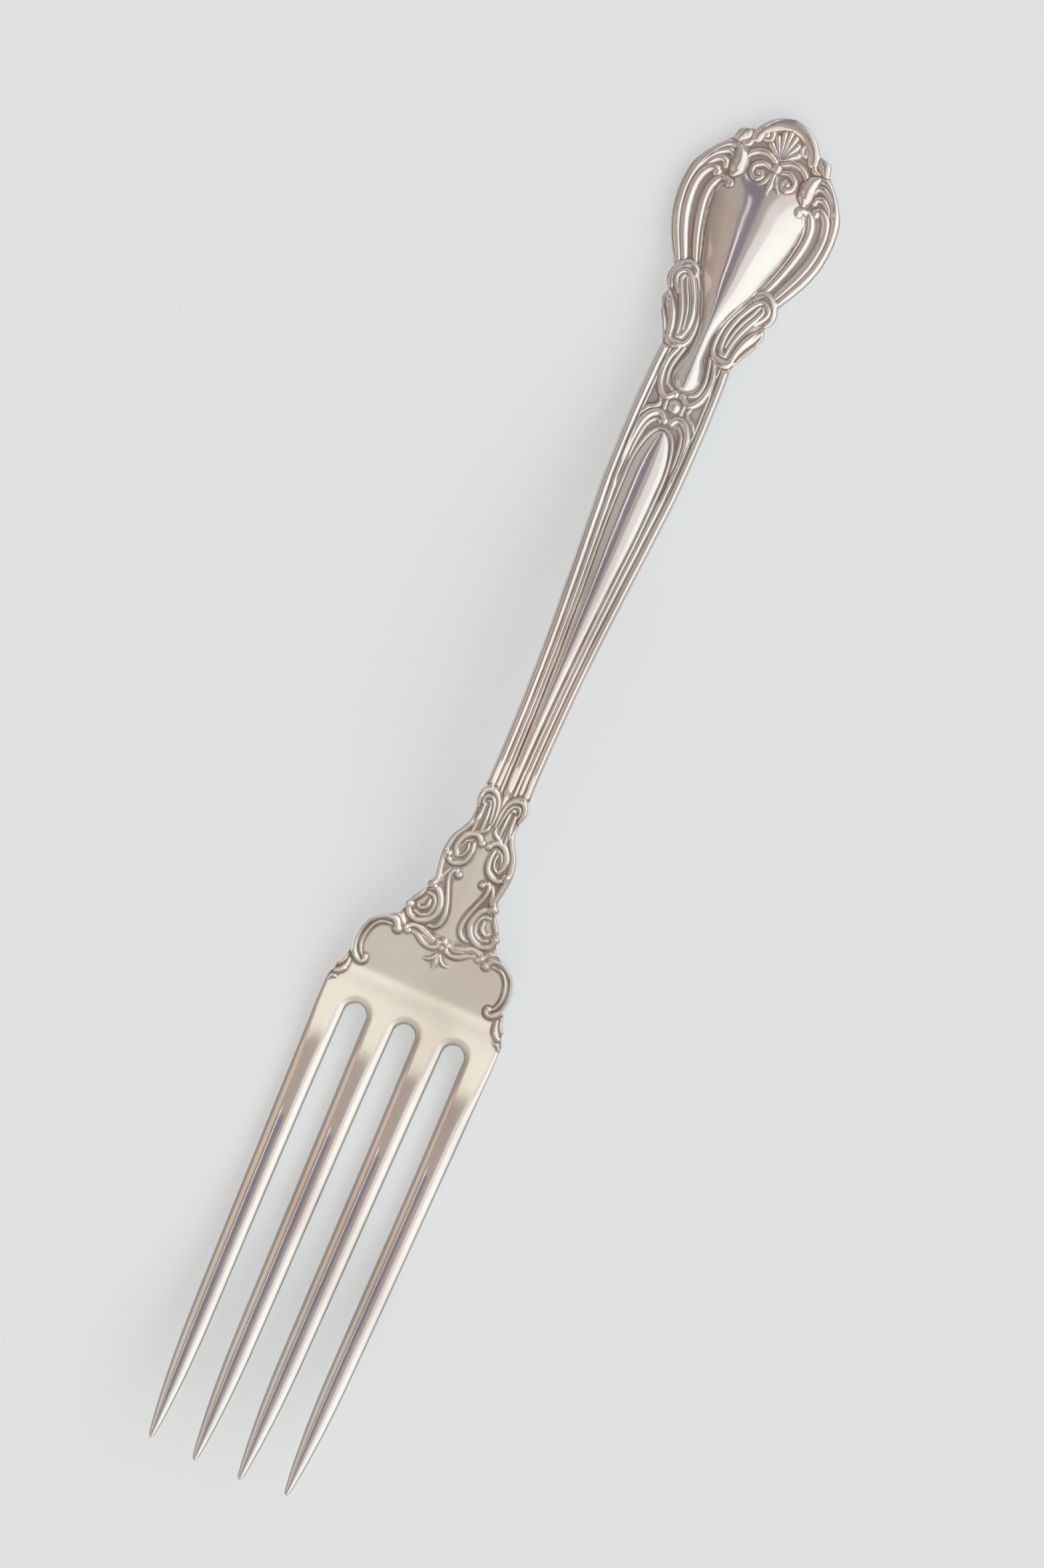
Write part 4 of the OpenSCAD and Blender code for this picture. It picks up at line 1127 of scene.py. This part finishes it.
class Graph:
    """Short calls that make and link the shader nodes of a material or a world."""

    def __init__(self, owner):
        owner.use_nodes = True
        self.nodes = owner.node_tree.nodes
        self.links = owner.node_tree.links

    def node(self, kind, *values, **settings):
        """A new node with these settings, its first sockets fed with the values."""
        made = self.nodes.new(kind)
        for key, value in settings.items():
            setattr(made, key, value)
        for socket, value in zip(made.inputs, values):
            self.feed(socket, value)
        return made

    def feed(self, socket, value):
        """Links an output to a socket, or sets a plain number or colour on it."""
        if isinstance(value, bpy.types.NodeSocket):
            self.links.new(value, socket)
        else:
            socket.default_value = value

    def math(self, operation, *values):
        return self.node("ShaderNodeMath", *values, operation=operation).outputs[0]

    def fit(self, source, low, high, to_low=0.0, to_high=1.0, kind="SMOOTHSTEP"):
        """Brings the range from low to high to the one from to_low to to_high."""
        values = (source, low, high, to_low, to_high)
        return self.node("ShaderNodeMapRange", *values, interpolation_type=kind).outputs["Result"]

    def blend(self, share, a, b):
        """Colour a where the share is 0, colour b where it is 1."""
        made = self.node("ShaderNodeMix", data_type="RGBA")
        self.feed(made.inputs[0], share)
        self.feed(made.inputs[6], a)
        self.feed(made.inputs[7], b)
        return made.outputs[2]

    def noise(self, scale, detail, stretch=(1.0, 1.0, 1.0), turn=0.0, rough=0.5):
        place = self.node("ShaderNodeTexCoord")
        aim = self.node("ShaderNodeMapping", place.outputs["Object"])
        aim.inputs["Rotation"].default_value = (0.0, 0.0, turn)
        where = self.node("ShaderNodeMapping", aim.outputs["Vector"])
        where.inputs["Scale"].default_value = stretch
        made = self.node("ShaderNodeTexNoise", where.outputs["Vector"])
        made.inputs["Scale"].default_value = scale
        made.inputs["Detail"].default_value = detail
        made.inputs["Roughness"].default_value = rough
        return made.outputs["Fac"]


# Silver
BRIGHT_SILVER = (0.9, 0.885, 0.855, 1.0)
BROWN_PATINA = (0.29, 0.17, 0.11, 1.0)
POLISH_ROUGHNESS = 0.055
SATIN_ROUGHNESS = 0.11
PATINA_ROUGHNESS = 0.24
# Turn and scale of the four directions of fine scratches
SCRATCHES = ((0.35, 7000.0), (1.2, 9000.0), (2.15, 8000.0), (2.8, 10000.0))


def silver_material():
    """Polished silver: brown patina in the recesses, haze, satin palm, smears, scratches and dents."""
    mat = bpy.data.materials.new("worn_silver")
    graph = Graph(mat)
    shader = graph.nodes["Principled BSDF"].inputs
    shader["Metallic"].default_value = 1.0
    cavity = graph.node("ShaderNodeAttribute", attribute_name="cavity").outputs["Fac"]
    satin = graph.node("ShaderNodeAttribute", attribute_name="satin").outputs["Fac"]

    blotch = graph.fit(graph.noise(260.0, 4.0), 0.25, 0.7, 0.55, 1.0)
    patina = graph.math("MULTIPLY", graph.fit(cavity, 0.0015, 0.028), blotch)
    haze = graph.fit(graph.noise(70.0, 3.0), 0.42, 0.75, 0.0, 0.22)
    shade = graph.math("MULTIPLY", graph.math("MAXIMUM", patina, haze), 0.86)
    graph.feed(shader["Base Color"], graph.blend(shade, BRIGHT_SILVER, BROWN_PATINA))

    smear = graph.fit(graph.noise(150.0, 5.0, rough=0.6), 0.3, 0.75, 0.0, 0.055)
    rough = graph.math("ADD", graph.math("MULTIPLY", satin, SATIN_ROUGHNESS), smear)
    rough = graph.math("ADD", rough, graph.math("MULTIPLY", patina, PATINA_ROUGHNESS))
    graph.feed(shader["Roughness"], graph.math("ADD", rough, POLISH_ROUGHNESS))

    scratch = 0.0
    for turn, scale in SCRATCHES:
        line = graph.fit(graph.noise(scale, 1.0, (1.0, 0.02, 0.3), turn), 0.66, 0.76)
        scratch = graph.math("MAXIMUM", scratch, line)
    depth = graph.math("ADD", graph.math("MULTIPLY", satin, 0.04), 0.07)
    worn = graph.math("MULTIPLY", scratch, depth)
    dents = graph.math("MULTIPLY", graph.noise(330.0, 3.0), 2.0)
    bump = graph.node("ShaderNodeBump")
    bump.inputs["Strength"].default_value = 0.1
    bump.inputs["Distance"].default_value = 0.00003
    graph.feed(bump.inputs["Height"], graph.math("SUBTRACT", dents, worn))
    graph.feed(shader["Normal"], bump.outputs["Normal"])
    return mat


silver = silver_material()
for piece in pieces:
    piece.data.materials.append(silver)

# Studio


def flat_material(name, colour, roughness):
    mat = bpy.data.materials.new(name)
    mat.use_nodes = True
    shader = mat.node_tree.nodes["Principled BSDF"]
    shader.inputs["Base Color"].default_value = (*colour, 1.0)
    shader.inputs["Roughness"].default_value = roughness
    return mat


def sheet(name, size, location, mat):
    """A flat rectangle of the studio, which is not part of the fork."""
    mesh = bpy.data.meshes.new(name)
    a, b = size[0] / 2, size[1] / 2
    mesh.from_pydata([(-a, -b, 0), (a, -b, 0), (a, b, 0), (-a, b, 0)], [], [(0, 1, 2, 3)])
    mesh.materials.append(mat)
    obj = add_object(name, mesh)
    obj.location = location


def lamp(name, size, location, watts, colour):
    """A rectangular lamp that faces straight down."""
    data = bpy.data.lights.new(name, "AREA")
    data.shape = "RECTANGLE"
    data.size, data.size_y = size
    data.energy = watts
    data.color = colour
    obj = add_object(name, data)
    obj.location = location
    obj.visible_camera = False


FLOOR_COLOUR = (0.818, 0.883, 0.928)
FLOOR_SIZE = (40.0, 40.0)
FLOOR_LIFT = 0.25


def floor_material():
    """Pale matt floor, lifted a little for what the camera and the silver see of it."""
    mat = flat_material("pale_floor", FLOOR_COLOUR, 0.7)
    graph = Graph(mat)
    rays = graph.node("ShaderNodeLightPath").outputs
    mirrored = graph.math("MAXIMUM", rays["Is Glossy Ray"], rays["Is Transmission Ray"])
    seen = graph.math("MAXIMUM", rays["Is Camera Ray"], mirrored)
    shader = graph.nodes["Principled BSDF"].inputs
    shader["Emission Color"].default_value = (1.0, 1.0, 1.0, 1.0)
    graph.feed(shader["Emission Strength"], graph.math("MULTIPLY", seen, FLOOR_LIFT))
    return mat


sheet("floor", FLOOR_SIZE, (0.0, 0.0, 0.0), floor_material())

# Turn of the fork in the picture
TURN = math.radians(23.28)


def across(right, up, height):
    """A place by metres to the right and up in the picture, and height over the floor."""
    return (
        right * math.cos(TURN) - up * math.sin(TURN),
        right * math.sin(TURN) + up * math.cos(TURN),
        height,
    )


# Lamps overhead, sizes and places in metres: a wide window in two parts on the right, its curtain,
# a narrow gap, a small warm one close by on the left, and two in front of the tines
LAMP_HEIGHT = 1.1
LAMPS = [
    ("window", (0.9, 2.15), (0.77, 0.075, LAMP_HEIGHT), 3.16, (0.96, 1.0, 1.0)),
    ("window_side", (0.7, 2.15), (1.57, 0.075, LAMP_HEIGHT), 1.27, (0.98, 1.0, 1.0)),
    ("curtain", (0.2, 1.7), (0.22, 0.3, LAMP_HEIGHT), 0.34, (1.0, 0.93, 0.97)),
    ("gap", (0.034, 1.0), (-0.18, 0.4, LAMP_HEIGHT), 0.1, (1.0, 0.95, 0.86)),
    ("warm_side", (0.15, 0.23), (-0.165, -0.005, 0.25), 0.022, (1.0, 0.8, 0.7)),
    ("front", (0.9, 0.3), (0.12, -0.52, LAMP_HEIGHT), 0.46, (0.98, 1.0, 0.84)),
    ("low_front", (1.0, 0.7), (0.12, -1.04, LAMP_HEIGHT), 0.32, (0.98, 1.0, 0.82)),
]
for lamp_values in LAMPS:
    lamp(*lamp_values)
card = flat_material("grey_card", (0.58, 0.5, 0.6), 0.9)
sheet("overhead_card", (0.27, 1.16), (-0.14, 0.52, 1.12), card)

# Colours of the room: from left to right overhead, far to the front and back, and low down
ROOM_RAMP = (
    (0.0, (0.17, 0.14, 0.13)),
    (0.14, (0.32, 0.255, 0.225)),
    (0.3, (0.475, 0.365, 0.305)),
    (0.5, (0.44, 0.375, 0.345)),
    (0.75, (0.6, 0.56, 0.53)),
    (1.0, (0.5, 0.48, 0.47)),
)
ROOM_ENDS = (0.5, 0.44, 0.39, 1.0)
LOW_WALLS = (0.47, 0.455, 0.445, 1.0)


def studio_world():
    """Warm grey room, darker on the left, paler on the window's side, greyer past the handle end."""
    world = bpy.data.worlds.new("studio")
    bpy.context.scene.world = world
    graph = Graph(world)
    place = graph.node("ShaderNodeTexCoord")
    split = graph.node("ShaderNodeSeparateXYZ", place.outputs["Generated"])
    x, y, z = split.outputs
    ramp = graph.node("ShaderNodeValToRGB", graph.fit(x, -1.0, 1.0, kind="LINEAR"))
    elements = ramp.color_ramp.elements
    while len(elements) < len(ROOM_RAMP):
        elements.new(0.5)
    for element, (at, colour) in zip(elements, ROOM_RAMP):
        element.position = at
        element.color = (*colour, 1.0)
    far = graph.fit(graph.math("ABSOLUTE", y), 0.4, 0.8)
    room = graph.blend(far, ramp.outputs["Color"], ROOM_ENDS)
    greyer = graph.node("ShaderNodeHueSaturation")
    graph.feed(greyer.inputs["Saturation"], graph.fit(y, 0.14, 0.4, 1.0, 0.48))
    graph.feed(greyer.inputs["Color"], room)
    background = graph.nodes["Background"].inputs
    overhead = graph.fit(z, 0.36, 0.6)
    graph.feed(background["Color"], graph.blend(overhead, LOW_WALLS, greyer.outputs["Color"]))
    graph.feed(background["Strength"], graph.fit(z, 0.0, 0.42, 0.2))


studio_world()

# Camera straight above, turned as in the picture. The middle of the fork is given in pixels of the
# photo, heights in metres and the sensor in millimetres.
PHOTO_WIDTH = 1568
PHOTO_HEIGHT = 2356
MIDDLE_PIXEL = (764.93, 1187.07)
PIXELS_PER_MM = 14.392
FACE_HEIGHT = 0.005
DISTANCE = 0.5
SENSOR = 36.0
cam = bpy.data.cameras.new("camera")
cam.sensor_fit = "VERTICAL"
cam.sensor_height = SENSOR
cam.sensor_width = SENSOR
cam.lens = SENSOR * (DISTANCE - FACE_HEIGHT) / (PHOTO_HEIGHT / PIXELS_PER_MM * MM)
camera = add_object("camera", cam)
right_shift = (PHOTO_WIDTH / 2 - MIDDLE_PIXEL[0]) / PIXELS_PER_MM * MM
up_shift = (MIDDLE_PIXEL[1] - PHOTO_HEIGHT / 2) / PIXELS_PER_MM * MM
camera.location = across(right_shift, up_shift, DISTANCE)
camera.rotation_euler = (0.0, 0.0, TURN)
bpy.context.scene.camera = camera

bpy.context.scene.view_settings.view_transform = "Standard"
